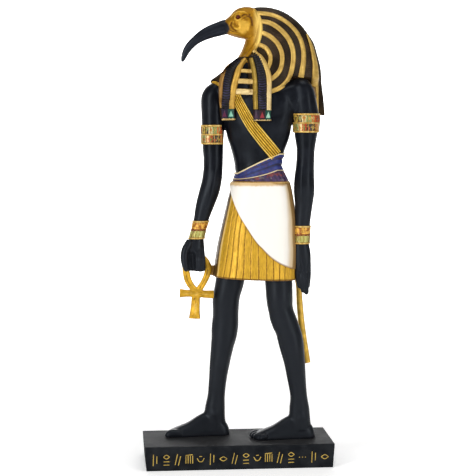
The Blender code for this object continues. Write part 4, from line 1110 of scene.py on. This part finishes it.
TIP_PAINTS = [
    tip_paint("near lappet foot", 2.3, [(0.005, 0.050, 0.035), (0.022, 0.003, 0.006), (0.012, 0.003, 0.014)],
              [(0.30, 0.52, 0.38), (0.26, 0.022, 0.03), (0.04, 0.008, 0.03)]),
    tip_paint("far lappet foot", 2.8, [(0.005, 0.055, 0.038), (0.010, 0.003, 0.022)],
              [(0.24, 0.52, 0.38), (0.10, 0.012, 0.045)]),
]
for label, keys, paint in zip(("near", "far"), TIPS, TIP_PAINTS):
    tip = band(rails_of(keys, 0.5), on_lappets, 0.8, 24, sink=2.6, fullness=10.0)
    show(f"lappet_foot_{label}", tip, paint, crease=60.0)
show("lappets", gather(lappet_forms), wig_black, crease=60.0)

# %% [markdown]
# ## Strap and sash
#
# A gold strap crosses the chest from the far shoulder to the near hip, with grooves cut along its middle.
# A sash is wound round the waist: blue above, purple and red below, with pale cords along its edges,
# which climb towards the near side.

# %% Strap
STRAP_FRONT = [
    (-2.5, 245.4, 6.2), (-0.2, 241.0, 6.6), (7.1, 227.3, 7.5), (14.4, 217.5, 8.3), (21.5, 209.0, 8.5),
    (24.5, 205.4, 8.5),
]
STRAP_BACK = [
    (27.0, 203.4, 7.0), (18.0, 216.0, 7.0), (8.0, 230.0, 7.0), (-2.0, 243.5, 7.0), (-8.0, 250.0, 7.0),
]


def strap_grooves(along, across, share):
    """Smooth raised edges, five lengthwise grooves between them, and a chased pattern near the shoulder."""
    inside = min(1.0, max(0.0, (min(share, 1.0 - share) - 0.10) / 0.04))
    welts = 0.62 * math.sin(math.pi * (share - 0.14) / 0.72 * 4.0) ** 2 - 0.42
    grooves = 0.25 + (welts - 0.25) * inside
    chased = 0.18 * math.sin(along * 2.6) * math.sin(across * 2.6) * max(0.0, 1.0 - along / 13.0)
    return grooves + chased


on_chest = finder([body])
strap = [
    band(rails_of(STRAP_FRONT, 0.5), on_chest, 1.25, 44, NEAR, 3.0, strap_grooves, 7.0),
    band(rails_of(STRAP_BACK, 0.8), on_chest, 1.25, 36, FAR, 3.0, strap_grooves, 7.0),
]
show("strap", gather(strap), strap_gold, crease=80.0)

# %% Sash paints: cloth colours with painted shade in their folds
def cloth_paint(name, main, fold, patches):
    """Painted cloth, with painted shade in its folds, and patches of other colours by size, threshold and
    tone.
    """
    paint, tree, shader = new_paint(name)
    mottle = grain_on(tree, shader, 0.5, 0.15, 0.4, 3.0, 0.04)
    colour = tint(tree, mottle, main, tuple(0.6 * value for value in main))
    for size, low, tone in patches:
        patch = steps_of(tree, noise(tree, size, 2.0, 0.5, (1.0, 1.0, 1.6)), low, low + 0.06)
        colour = tint(tree, patch, colour, tone)
    # The low places of the folds and the close corners take the fold colour: painted shade.
    folded = invert(tree, steps_of(tree, flat_numbers(tree)[2], 0.1, 0.6))
    shadow = use_group(tree, settled_shade_highlight_group, Raised=1.0, Reach=1.2)["Groove"]
    recolour(tree, shader, tint(tree, calc(tree, "MAXIMUM", folded, shadow), colour, fold))
    return paint


sash_blue = cloth_paint(
    "sash blue", (0.020, 0.034, 0.20), (0.006, 0.006, 0.030), [(3.0, 0.54, (0.04, 0.02, 0.10))]
)
sash_purple = cloth_paint(
    "sash purple", (0.055, 0.024, 0.095), (0.014, 0.007, 0.02),
    [(5.0, 0.56, (0.17, 0.028, 0.035)), (3.6, 0.61, (0.15, 0.12, 0.15))]
)

# %% Sash
WAIST_MIDDLE, WAIST_HALF, WAIST_ROUND = 15.4, 16.4, 96.0


def sash_low(x):
    """Height of the level lower edge."""
    return 187.2


def climbing(low, rise, start, run, bend):
    """The height of an edge over x, which climbs from the far side to the near one."""
    return lambda x: low + rise * min(max((x - start) / run, 0.0), 1.0) ** bend


sash_top = climbing(193.2, 13.0, 0.6, 27.0, 0.92)
sash_middle = climbing(189.6, 6.0, 1.0, 25.5, 1.35)


def waist_ring(low, high, lift, levels, folds, sink=3.0):
    """A band round the waist between two heights that depend on x, folded by folds(turn, level)."""
    steps = [(0.0, -sink)] + [(number / levels, lift) for number in range(levels + 1)] + [(1.0, -sink)]

    def place(step, share):
        level, out = step
        turn = TAU * (share + 0.25)
        across, deep = oval(turn, 2.2)
        x = WAIST_MIDDLE + WAIST_HALF * across
        z = low(x) + (high(x) - low(x)) * level
        row = row_at(TORSO, z)
        fold = folds(turn, level) if out > 0.0 else 0.0
        half_width, half_depth = row[3] + out + fold, row[4] + out + fold
        shear = CHEST_TURN * half_width * across
        spot = Vector((row[1] + half_width * across, row[2] + half_depth * deep + shear, z))
        raised = 0.5 + fold if out > 0.0 else 0.0
        return spot, (share * WAIST_ROUND, z, raised)
    return loft(steps, 144, place)


def wound_folds(turn, level):
    """Shallow folds that gather towards the near hip."""
    gather_in = 0.5 + 0.5 * math.cos(turn)
    wave = math.sin(17.0 * level + 2.0 * math.sin(turn))
    return (0.14 + 0.30 * gather_in) * wave * math.sin(math.pi * level)


def hem_folds(turn, level):
    """Narrow upright folds of the under layer."""
    return 0.22 * math.sin(26.0 * turn + 3.0 * level) * math.sin(math.pi * level)


def cord_round(edge, width):
    """A half-round cord along an edge of the sash."""
    return waist_ring(
        lambda x: edge(x) - width / 2.0, lambda x: edge(x) + width / 2.0, 0.8, 6,
        lambda turn, level: 0.5 * math.sin(math.pi * level), 3.4
    )


show("sash_blue", waist_ring(sash_middle, sash_top, 0.7, 16, wound_folds), sash_blue)
show("sash_purple", waist_ring(sash_low, sash_middle, 0.5, 10, hem_folds), sash_purple)
cords = [cord_round(sash_top, 1.0), cord_round(sash_middle, 0.6)]
show("sash_cords", gather(cords), cream_gold)
# The waist cord's brown gold is partly its own colour and partly painted shade under the sash's edge.
show("waist_cord", cord_round(lambda x: sash_low(x) + 0.2, 1.7), brown_gold)

# %% [markdown]
# ## Kilt
#
# The kilt is gold cloth in knife pleats that open towards the hem, under a plain white cloth cut on a long
# curve. A pleat is a slow rise and a sharp fall, repeated round the ring, so it is one formula rather than
# thirty-six modelled folds; the depth grows from nothing at the waist. At the front corner a flat turned
# edge runs down with one welt: outside the welt it is darkened with painted shade, and the welt is paler,
# as a painted highlight.

# %% Pleated kilt
KILT = [
    (187.8, 16.1, 0.5, 19.2, 14.0), (180.0, 16.1, 0.4, 21.1, 15.4), (164.0, 15.4, 0.3, 24.1, 17.3),
    (144.0, 13.8, 0.2, 26.7, 18.9), (124.0, 12.3, 0.2, 27.9, 19.6),
]
PLEATS = 36
PLEAT_DEPTH = 0.75
HEM_TILT = 0.042
KILT_ROUND = 150.0
CORNER, WELT = (74.0, 89.0), 84.8
CORNER_FADE, HEM_FADE = (72.0, 75.0), (63.0, 63.8)


def pleat(share):
    """Height of a knife pleat, from its fold to the next one, between 0 and 1."""
    run = (share * PLEATS) % 1.0
    return 0.72 + 0.28 * run / 0.8 if run < 0.8 else max(0.0, 1.0 - (run - 0.8) / 0.09)


def kilt_point(row, share):
    """A point of the pleated ring; the flat front corner has one welt instead of pleats."""
    z, x, y, half_width, half_depth = row
    across, deep = oval(TAU * share, 2.2)
    opened = (KILT[0][0] - z) / (KILT[0][0] - KILT[-1][0])
    wave = pleat(share + 0.004 * math.sin(z * 0.13 + TAU * 3.0 * share))
    around = share * KILT_ROUND
    welt = math.exp(-((around - WELT) / 1.1) ** 2)
    if CORNER[0] < around < CORNER[1]:
        wave = 0.5 + 0.5 * welt
    fold = PLEAT_DEPTH * (0.15 + 0.85 * opened) * (wave - 0.62)
    swing = 1.0 + fold / half_width
    aside = half_width * across * swing
    spot = Vector((x + aside, y + half_depth * deep * swing, z - HEM_TILT * aside * opened))
    return spot, (KILT[0][0] - z, around, 0.10 + 0.52 * wave)


def kilt_skin():
    """The pleated skin, with its hem turned under."""
    rows = curve_rows(KILT, 9)
    z, x, y, half_width, half_depth = rows[-1]
    for lower, inwards in ((0.35, 0.45), (0.1, 2.2)):
        rows.append((z - lower, x, y, half_width - inwards, half_depth - inwards))
    return loft(rows, PLEATS * 16, kilt_point)


kilt_gold = gold_paint("kilt gold", (0.70, 0.40, 0.032), (0.12, 0.05, 0.006), (0.92, 0.66, 0.20), 0.3,
                       streaks=(1.6, 1.6, 0.22))
tree, shader, gold = top_coat(kilt_gold)
down, around, _ = flat_numbers(tree)
wavering = uneven(tree, around, 2.0, 1.6)
# Outside the welt the edge is darkened as painted shade, and the welt is paler as a painted highlight.
before_welt = invert(tree, steps_of(tree, wavering, WELT - 1.6, WELT - 0.8))
outside = calc(tree, "MULTIPLY", steps_of(tree, wavering, *CORNER_FADE), before_welt)
pale_welt = invert(tree, steps_of(tree, off(tree, around, WELT), 0.3, 1.1))
hem_line = calc(tree, "MULTIPLY", steps_of(tree, uneven(tree, down, 1.2, 0.8), *HEM_FADE), 0.8)
cornered = tint(tree, calc(tree, "MULTIPLY", outside, 0.95), gold, (0.045, 0.022, 0.006))
welted = tint(tree, calc(tree, "MULTIPLY", pale_welt, 0.75), cornered, (0.92, 0.68, 0.26))
recolour(tree, shader, tint(tree, hem_line, welted, (0.13, 0.055, 0.010)))
show("kilt", kilt_skin(), kilt_gold, crease=60.0)

# %% White cloth over the kilt
APRON_EDGE = [
    (-4.2, 185.3), (-2.6, 176.6), (1.3, 166.6), (7.3, 156.3), (12.5, 147.7), (18.5, 139.9), (25.1, 134.8),
    (32.4, 131.5), (37.6, 130.0),
]
APRON_TOP = 187.6
APRON_LIFT = 1.25


def apron_skin(levels=36):
    """The cloth as columns from its curved edge up to the waist; its outer face, then its inner one."""
    def place(column, share):
        x, low = column
        index = round(share * 2 * levels)
        inner = index >= levels
        step = (2 * levels - 1 - index) if inner else index
        z = low + (APRON_TOP - low) * step / (levels - 1)
        base = row_at(KILT, low)
        spread = (x - base[1]) / base[3]
        row = row_at(KILT, z)
        turn = math.acos(max(-1.0, min(1.0, spread)))
        across, deep = oval(turn, 2.2)
        fall = (APRON_TOP - z) / 60.0
        drape = 0.32 * fall * math.sin(26.0 * spread) * max(0.0, spread - 0.35) / 0.65
        hem = 0.35 * math.exp(-step / 1.2)
        out = -1.2 if inner else APRON_LIFT + drape - hem
        spot = Vector((row[1] + (row[3] + out) * across, row[2] - (row[4] + out) * deep, z))
        return spot, (z, x, 0.0 if inner else min(1.0, 0.35 * step))
    return loft(curve_rows(APRON_EDGE, 9), 2 * levels, place)


white_paint, tree, shader = new_paint("white cloth", coat=0.05)
grain_on(tree, shader, 0.46, 0.1, 0.5, 8.0, 0.03)
height, low_edge, raised = flat_numbers(tree)
# The lower edge and the inner face get a painted shadow line.
painted_edge_shadow = invert(tree, steps_of(tree, raised, 0.0, 0.3))
shadow = use_group(tree, settled_shade_highlight_group, Raised=1.0, Reach=2.4)["Groove"]
cream = tint(tree, noise(tree, 16.0, 2.0, 0.5, (1.6, 1.6, 0.4)), (0.88, 0.85, 0.80), (0.84, 0.79, 0.70))
banded = tint(tree, steps_of(tree, uneven(tree, height, 2.5, 1.6), 185.4, 187.0), cream, (0.62, 0.42, 0.20))
# Towards the right, where the cloth turns round the hip, it goes beige and then darker: painted shade.
turned = calc(tree, "MULTIPLY_ADD", noise(tree, 3.0, 3.0, 0.5, (1.0, 1.0, 0.12)), 1.6, low_edge)
beige = tint(tree, steps_of(tree, turned, 30.0, 34.0), banded, (0.60, 0.45, 0.26))
shaded = tint(tree, steps_of(tree, turned, 34.0, 35.0), beige, (0.28, 0.16, 0.05))
painted_cloth_shade = calc(tree, "MAXIMUM", calc(tree, "MULTIPLY", painted_edge_shadow, 0.9), shadow)
recolour(tree, shader, tint(tree, painted_cloth_shade, shaded, (0.30, 0.17, 0.06)))
show("white_cloth", apron_skin(), white_paint, crease=60.0)

# %% [markdown]
# ## Bands of the arms
#
# Each arm has a wide armlet and a bracelet: gold rims, and rows of small inlaid cells in red, orange, green
# and yellow. The cells are cut a little below the rims, and a white-noise texture read once per cell
# picks its colour, as a jeweller would fill the cells from a tray of mixed glass.

# %% Inlay paint
CELL_TOP = 0.42
MIDDLE_ROW = 1.0


def inlay_paint(name, tones, top_row=None):
    """Gold with coloured cells that hold small figures; the flat numbers count columns and rows."""
    paint, tree, shader = new_paint(name, metal=0.25, specular=0.3)
    grain_on(tree, shader, 0.30, 0.12, 0.35, 4.0, 0.04)
    turn, height, raised = flat_numbers(tree)
    turn = uneven(tree, turn, 1.5, 0.8)
    column, row = calc(tree, "FLOOR", turn), calc(tree, "FLOOR", height)
    cell = add(tree, "ShaderNodeCombineXYZ", {}, column, row, 0.37).outputs[0]
    figure_cell = add(tree, "ShaderNodeCombineXYZ", {}, column, row, 5.81).outputs[0]
    picked = []
    for spot in (cell, figure_cell):
        ramp = tree.nodes.new("ShaderNodeValToRGB")
        ramp.color_ramp.interpolation = "CONSTANT"
        while len(ramp.color_ramp.elements) < len(tones):
            ramp.color_ramp.elements.new(1.0)
        for index, tone in enumerate(tones):
            ramp.color_ramp.elements[index].position = index / len(tones)
            ramp.color_ramp.elements[index].color = (*tone, 1.0)
        give(tree, ramp.inputs["Fac"], add(tree, "ShaderNodeTexWhiteNoise", {}, spot).outputs["Value"])
        picked.append(ramp.outputs["Color"])
    off_middle = [off(tree, calc(tree, "FRACT", number), 0.5) for number in (turn, height)]
    leaning = uneven(tree, calc(tree, "ADD", *off_middle), 1.3, 0.5)
    colour = tint(tree, calc(tree, "LESS_THAN", leaning, 0.52), *picked)
    if top_row:
        mixed = tint(tree, steps_of(tree, noise(tree, 2.2, 3.0, 0.6), 0.38, 0.62), top_row[0], top_row[1])
        upper = calc(tree, "GREATER_THAN", height, MIDDLE_ROW)
        seam = calc(tree, "LESS_THAN", off(tree, height, MIDDLE_ROW), 0.10)
        colour = tint(tree, seam, tint(tree, upper, colour, mixed), (0.16, 0.025, 0.008))
    blots = steps_of(tree, noise(tree, 0.9, 3.0, 0.6), 0.52, 0.62)
    colour = tint(tree, calc(tree, "MULTIPLY", blots, 0.6), colour, (0.50, 0.33, 0.07))
    brushed = steps_of(tree, noise(tree, 1.6, 3.0, 0.6), 0.35, 0.7)
    gold = tint(tree, brushed, (0.46, 0.25, 0.035), (0.74, 0.53, 0.17))
    outline = invert(tree, steps_of(tree, off(tree, raised, CELL_TOP), 0.06, 0.22))
    filled = tint(tree, calc(tree, "LESS_THAN", raised, CELL_TOP), gold, colour)
    recolour(tree, shader, tint(tree, calc(tree, "MULTIPLY", outline, 0.8), filled, BROWN_GROUND))
    return paint


ARMLET_TONES = [
    (0.36, 0.025, 0.012), (0.48, 0.11, 0.015), (0.50, 0.33, 0.05), (0.08, 0.17, 0.04), (0.02, 0.015, 0.008),
    (0.58, 0.47, 0.22), (0.36, 0.045, 0.015), (0.17, 0.24, 0.07), (0.03, 0.022, 0.014), (0.42, 0.27, 0.045),
]
BRACELET_TONES = [(0.34, 0.33, 0.07), (0.26, 0.28, 0.07), (0.44, 0.44, 0.13), (0.20, 0.15, 0.04)]
armlet_paint = inlay_paint("armlet inlay", ARMLET_TONES)
bracelet_paint = inlay_paint("bracelet inlay", BRACELET_TONES, ((0.26, 0.055, 0.008), (0.74, 0.40, 0.055)))

# %% Arm bands: the far armlet dips into the arm on the side that lies against the chest
ARM_BANDS = [
    ("far_armlet", FAR_ARM, 212.4, 225.3, 18), ("far_bracelet", FAR_ARM, 149.8, 162.0, 14),
    ("near_armlet", NEAR_ARM, 220.2, 232.8, 18), ("near_bracelet", NEAR_ARM, 146.8, 159.0, 14),
]
TUCK_DEPTH, TUCK_FROM, TUCK_SLANT = 12.0, 0.86, 0.28


def arm_band(arm, low, high, columns, bulging, tucked):
    """A band with rims, a middle wire and sunk cells; a bracelet's upper half bulges and has no cells."""
    levels = 40
    steps = [(0.0, -1.5)] + [(number / levels, 0.8) for number in range(levels + 1)] + [(1.0, -1.5)]

    def place(step, share):
        level, out = step
        z = low + (high - low) * level
        turn = TAU * (share + 0.2)
        across, deep = oval(turn, 2.0)
        cells = share * columns
        to_wall = abs(cells % 1.0 - 0.5) * 2.0
        rim = max(math.exp(-((level - 0.05) / 0.05) ** 2), math.exp(-((level - 0.95) / 0.05) ** 2))
        wire = math.exp(-((level - 0.5) / 0.035) ** 2)
        wall = math.exp(-((1.0 - to_wall) / 0.2) ** 2)
        without_cells = bulging and level > 0.5
        if without_cells:
            wall = 0.15 + 0.55 * math.sin(math.pi * (level - 0.5) * 2.0)
        raised = min(1.0, max(rim, 0.0 if bulging else wire, 0.0 if without_cells else 0.7 * wall))
        lift = out
        if out > 0.0:
            lift = out + 0.42 * max(rim, 0.8 * wire, 0.6 * wall) - (0.35 if bulging else 0.12)
        if tucked:
            lift -= TUCK_DEPTH * max(0.0, across - TUCK_FROM + TUCK_SLANT * level)
        row = row_at(arm, z)
        spot = Vector((row[1] + (row[3] + lift) * across, row[2] + (row[4] + lift) * deep, z))
        return spot, (cells, 2.0 * level, raised)
    return loft(steps, columns * 10, place)


for name, arm, low, high, columns in ARM_BANDS:
    bulging = "bracelet" in name
    paint = bracelet_paint if bulging else armlet_paint
    piece = arm_band(arm, low, high, columns, bulging, name == "far_armlet")
    show(name, piece, paint)

# %% [markdown]
# ## Looped cross and hanging tail
#
# The far hand holds a looped cross by its loop: two strands that meet at a flared bar over a flared stem.
# From the back of the kilt hangs the end of a ceremonial tail, a flat gold strip beside the rear leg.
# Both are flat bars with a soft ridge, and those of the cross are fused where they meet.

# %% Bars with a soft ridge
def plate(keys, middle_y, thickness):
    """A flat bar of x, z and width along its middle line, with a soft ridge along its faces."""
    rows = curve_rows(keys, 8)
    sections = []
    for index, row in enumerate(rows):
        ahead, behind = rows[min(index + 1, len(rows) - 1)], rows[max(index - 1, 0)]
        along = Vector((ahead[0] - behind[0], 0.0, ahead[1] - behind[1])).normalized()
        sections.append((Vector((row[0], middle_y, row[1])), Vector((-along.z, 0.0, along.x)), row[2] / 2.0))

    def place(section, share):
        middle, side, half_width = section
        across, deep = oval(TAU * share, 3.0)
        ridge = 0.86 + 0.14 * (1.0 - abs(across))
        return middle + side * half_width * across + Vector((0.0, thickness / 2.0 * deep * ridge, 0.0))
    return loft(sections, 32, place)


CROSS_LOOP = [
    [(-26.6, 114.2, 4.2), (-30.2, 118.3, 4.5), (-32.5, 122.5, 4.8), (-33.5, 126.8, 4.8), (-34.3, 131.8, 4.2),
     (-34.4, 136.6, 3.6), (-31.4, 140.2, 3.6), (-27.0, 140.2, 3.4)],
    [(-26.4, 114.0, 4.2), (-23.8, 117.8, 4.3), (-22.0, 120.7, 4.2), (-20.2, 124.4, 4.4), (-18.9, 129.0, 4.8),
     (-19.4, 133.0, 4.2), (-21.4, 136.6, 3.4), (-25.0, 138.8, 3.2)],
]
CROSS_BAR = [
    (-38.0, 113.6, 6.0), (-33.4, 113.5, 4.8), (-27.0, 113.2, 4.8), (-21.6, 112.8, 5.0), (-15.4, 112.5, 5.6),
]
CROSS_STEM = [(-27.0, 113.9, 5.6), (-27.4, 108.0, 5.8), (-27.8, 102.0, 6.4), (-28.1, 96.5, 7.8)]
CROSS_SHADE_WEB = [(-19.6, 129.0, 5.0), (-16.8, 128.8, 6.6), (-12.5, 128.0, 8.0)]
TAIL = [
    (38.2, 129.6, 3.0), (41.4, 119.0, 3.6), (42.4, 106.0, 4.2), (43.6, 93.2, 4.3), (45.4, 80.1, 4.4),
    (47.6, 65.8, 4.6),
]
cross = fuse([
    plate(CROSS_LOOP[0], 2.0, 3.6), plate(CROSS_LOOP[1], 2.0, 3.5), plate(CROSS_BAR, 2.0, 4.6),
    plate(CROSS_STEM, 2.0, 4.4),
], 0.25, 3, 0.35)
carve(cross, [([(x, depth, z) for x, z in path], width, lift) for depth, path, width, lift in [
    (-0.2, [(-27.5, 107.0), (-28.0, 99.6)], 1.2, 0.35), (-0.2, [(-31.0, 98.6), (-25.0, 98.4)], 0.4, -0.4),
    (-0.2, [(-36.4, 113.6), (-30.6, 113.5)], 0.8, 0.3), (-0.2, [(-23.2, 113.0), (-16.6, 112.7)], 0.8, 0.3),
    (-0.2, [(-30.0, 116.0), (-30.0, 110.6)], 0.4, -0.5), (-0.2, [(-23.9, 115.8), (-23.9, 110.2)], 0.4, -0.5),
    (-0.2, [(-30.0, 109.9), (-24.6, 109.8)], 0.4, -0.5), (-0.2, [(-29.8, 107.9), (-24.9, 107.8)], 0.35, -0.4),
    (-0.2, [(-27.0, 113.2)], 1.6, 0.4), (0.4, [(-30.8, 118.2), (-33.0, 122.6), (-33.8, 127.0)], 0.45, -0.4),
    (0.4, [(-24.4, 117.4), (-22.2, 121.0), (-20.4, 124.8), (-19.2, 129.4)], 0.45, -0.4),
]], mark=True)
show("looped_cross", cross, old_gold)
# The web is a brown sheet in the gap between the loop and the kilt: painted shade for that gap.
show("cross_shade_web", plate(CROSS_SHADE_WEB, 3.0, 2.6), brown_gold)
show("tail", plate(TAIL, 1.4, 5.0), plain_gold)

# %% [markdown]
# ## Plinth
#
# The plinth is a flat block, a little narrower below, sprayed satin black like the figure. It was cast face
# down in a soft mould, so its edges are rounded and its faces not quite flat. Its front carries a row of
# small gold marks; here they are short strokes that can't be read.

# %% Block
PLINTH = (125.0, 52.0, 16.1)
PLINTH_DRAFT = 1.0
block = bmesh.new()
bmesh.ops.create_cube(block, size=1.0)
bmesh.ops.scale(block, vec=[size * MM for size in PLINTH], verts=block.verts)
bmesh.ops.translate(block, vec=(0.0, 0.0, 0.5 * PLINTH[2] * MM), verts=block.verts)
for vert in block.verts:
    if vert.co.z < 0.001:
        vert.co.x -= math.copysign(PLINTH_DRAFT * MM, vert.co.x)
        vert.co.y -= math.copysign(PLINTH_DRAFT * MM, vert.co.y)
BEVEL = {"offset_type": "OFFSET", "profile": 0.5, "affect": "EDGES", "material": -1, "clamp_overlap": True}
bmesh.ops.bevel(block, geom=block.edges[:], offset=0.45 * MM, segments=4, **BEVEL)
long_edges = [edge for edge in block.edges if edge.calc_length() > 5.0 * MM]
bmesh.ops.subdivide_edges(block, edges=long_edges, cuts=20, use_grid_fill=True)
plinth_paint = black_paint("plinth black", (0.0045, 0.0050, 0.0065), (0.014, 0.015, 0.017), 0.62, 0.10, 0.10)
show("plinth_block", finished(block), plinth_paint, node="plinth", crease=35.0)

# %% Gold strokes on the front
STROKE_WIDTH = 0.54
SIGN_STEP = 7.45
SIGN_KINDS = (0, 1, 2, 6, 3, 0, 5, 2, 1, 3, 6, 2, 1, 4, 0, 5)


def front_y(z):
    """Depth of the plinth's front face at a height."""
    return -(PLINTH[1] / 2.0 - PLINTH_DRAFT * (1.0 - z / PLINTH[2]))


def stroke(path, width=STROKE_WIDTH):
    """A brush stroke of paint along points of x and z, a little raised."""
    keys = [(x, z, width * (0.8 + 0.4 * math.sin(3.0 * x + z) ** 2)) for x, z in path]

    def face(x, z, side):
        return Vector((x, front_y(z), z)), Vector((0.0, -1.0, 0.0))
    return band(rails_of(keys, 0.4), face, 0.10, 4, NEAR, 0.15, fullness=2.2)


def sign(kind, x):
    """Strokes of one mark: upright or slanting ticks, a bow, dots, a comb, or a lens alone or over bars."""
    low, high = 3.6, 11.2
    middle = (low + high) / 2.0
    if kind == 0:
        return [[(x - 1.2, low), (x - 1.0, high)], [(x + 1.1, low + 1.5), (x + 1.2, high - 1.0)]]
    if kind == 1:
        level = high - 1.8
        lens = [[(x - 2.0, level), (x, level + lift), (x + 2.0, level)] for lift in (1.3, -1.3)]
        return lens + [[(x - 1.9, z), (x + 1.9, z + 0.1)] for z in (low + 0.4, middle - 1.2)]
    if kind == 6:
        teeth = [[(x + shift, high - 1.2), (x + shift, low + 1.2)] for shift in (-2.2, -0.75, 0.75, 2.2)]
        return teeth + [[(x - 2.4, high - 0.9), (x + 2.2, high - 0.5)]]
    if kind == 2:
        return [[(x - 1.8, low + 0.4), (x - 0.2, high)], [(x + 0.3, low), (x + 1.8, high - 1.4)]]
    if kind == 3:
        return [[(x - 2.3, middle + 0.8), (x - 1.2, middle - 1.2), (x, middle - 1.7), (x + 1.2, middle - 1.2),
                 (x + 2.3, middle + 0.8)], [(x - 0.9, middle + 1.9), (x + 0.9, middle + 2.0)]]
    if kind == 4:
        return [[(x + shift, middle - 0.25), (x + shift + 0.1, middle + 0.35)] for shift in (-2.0, 0.0, 2.0)]
    return [[(x - 2.4, middle), (x, middle + 1.4), (x + 2.4, middle)],
            [(x - 2.4, middle), (x, middle - 1.4), (x + 2.4, middle)]]


marks = []
for number, kind in enumerate(SIGN_KINDS):
    for path in sign(kind, (number - (len(SIGN_KINDS) - 1) / 2.0) * SIGN_STEP):
        marks.append(stroke(path))
sign_gold = gold_paint(
    "sign gold", (0.55, 0.38, 0.08), (0.20, 0.11, 0.03), (0.72, 0.56, 0.22), 0.3, 0.45, follow=False
)
show("plinth_marks", gather(marks), sign_gold, node="plinth")

# %% [markdown]
# ## Stage
#
# The floor sweeps up behind the statuette, so there is no horizon, and large soft lights stand left, right
# and above: on satin black they give the long upright highlights that show the limbs' roundness. A fourth
# light washes the backdrop.

# %% Floor, lights and camera
sweep = bmesh.new()
bmesh.ops.create_grid(sweep, x_segments=1, y_segments=1, size=3.0)
back = [edge for edge in sweep.edges if all(vert.co.y > 2.9 for vert in edge.verts)]
grown = bmesh.ops.extrude_edge_only(sweep, edges=back)["geom"]
wall = [item for item in grown if isinstance(item, bmesh.types.BMVert)]
bmesh.ops.translate(sweep, vec=(0.0, 0.0, 4.0), verts=wall)
bmesh.ops.bevel(sweep, geom=back, offset=1.2, segments=24, **BEVEL)
bmesh.ops.recalc_face_normals(sweep, faces=sweep.faces)
sweep_mesh = finished(sweep)
sweep_mesh.shade_smooth()
floor = put("floor", sweep_mesh)
WHITE = (1.0, 1.0, 1.0, 1.0)
floor_paint, tree, shader = new_paint("pale floor")
preset(shader, Base_Color=(0.95, 0.95, 0.95, 1.0), Roughness=0.9)
preset(shader, Emission_Color=WHITE, Emission_Strength=0.25)
sweep_mesh.materials.append(floor_paint)


def softbox(name, place, target, size, watts):
    """A square soft light turned to its target."""
    lamp = bpy.data.lights.new(name, "AREA")
    lamp.shape = "RECTANGLE"
    lamp.size, lamp.size_y = size
    lamp.energy = watts
    light = put(name, lamp)
    light.location = place
    light.rotation_euler = (Vector(target) - Vector(place)).to_track_quat("-Z", "Y").to_euler()


softbox("left softbox", (-0.95, -0.95, 0.42), (0.0, 0.0, 0.13), (0.28, 1.0), 10.5)
softbox("right softbox", (0.8, -1.0, 0.34), (0.0, 0.0, 0.13), (0.22, 1.0), 6.0)
softbox("top softbox", (0.1, -0.3, 1.25), (0.0, 0.0, 0.15), (0.9, 0.7), 6.0)
softbox("back wash", (0.0, 1.6, 1.6), (0.0, 2.6, 0.6), (2.5, 1.0), 90.0)
world = bpy.data.worlds.new("studio")
world.use_nodes = True
preset(world.node_tree.nodes["Background"], Color=WHITE, Strength=0.17)
bpy.context.scene.world = world

lens = bpy.data.cameras.new("camera")
lens.lens = 109.6
lens.sensor_width = 36.0
camera = put("camera", lens)
camera.location = (-0.08826, -0.95579, 0.22892)
camera.rotation_euler = (math.radians(90.0 - 4.683), 0.0, math.radians(-5.322))
bpy.context.scene.camera = camera
bpy.context.scene.view_settings.view_transform = "Standard"
print("stage is set")
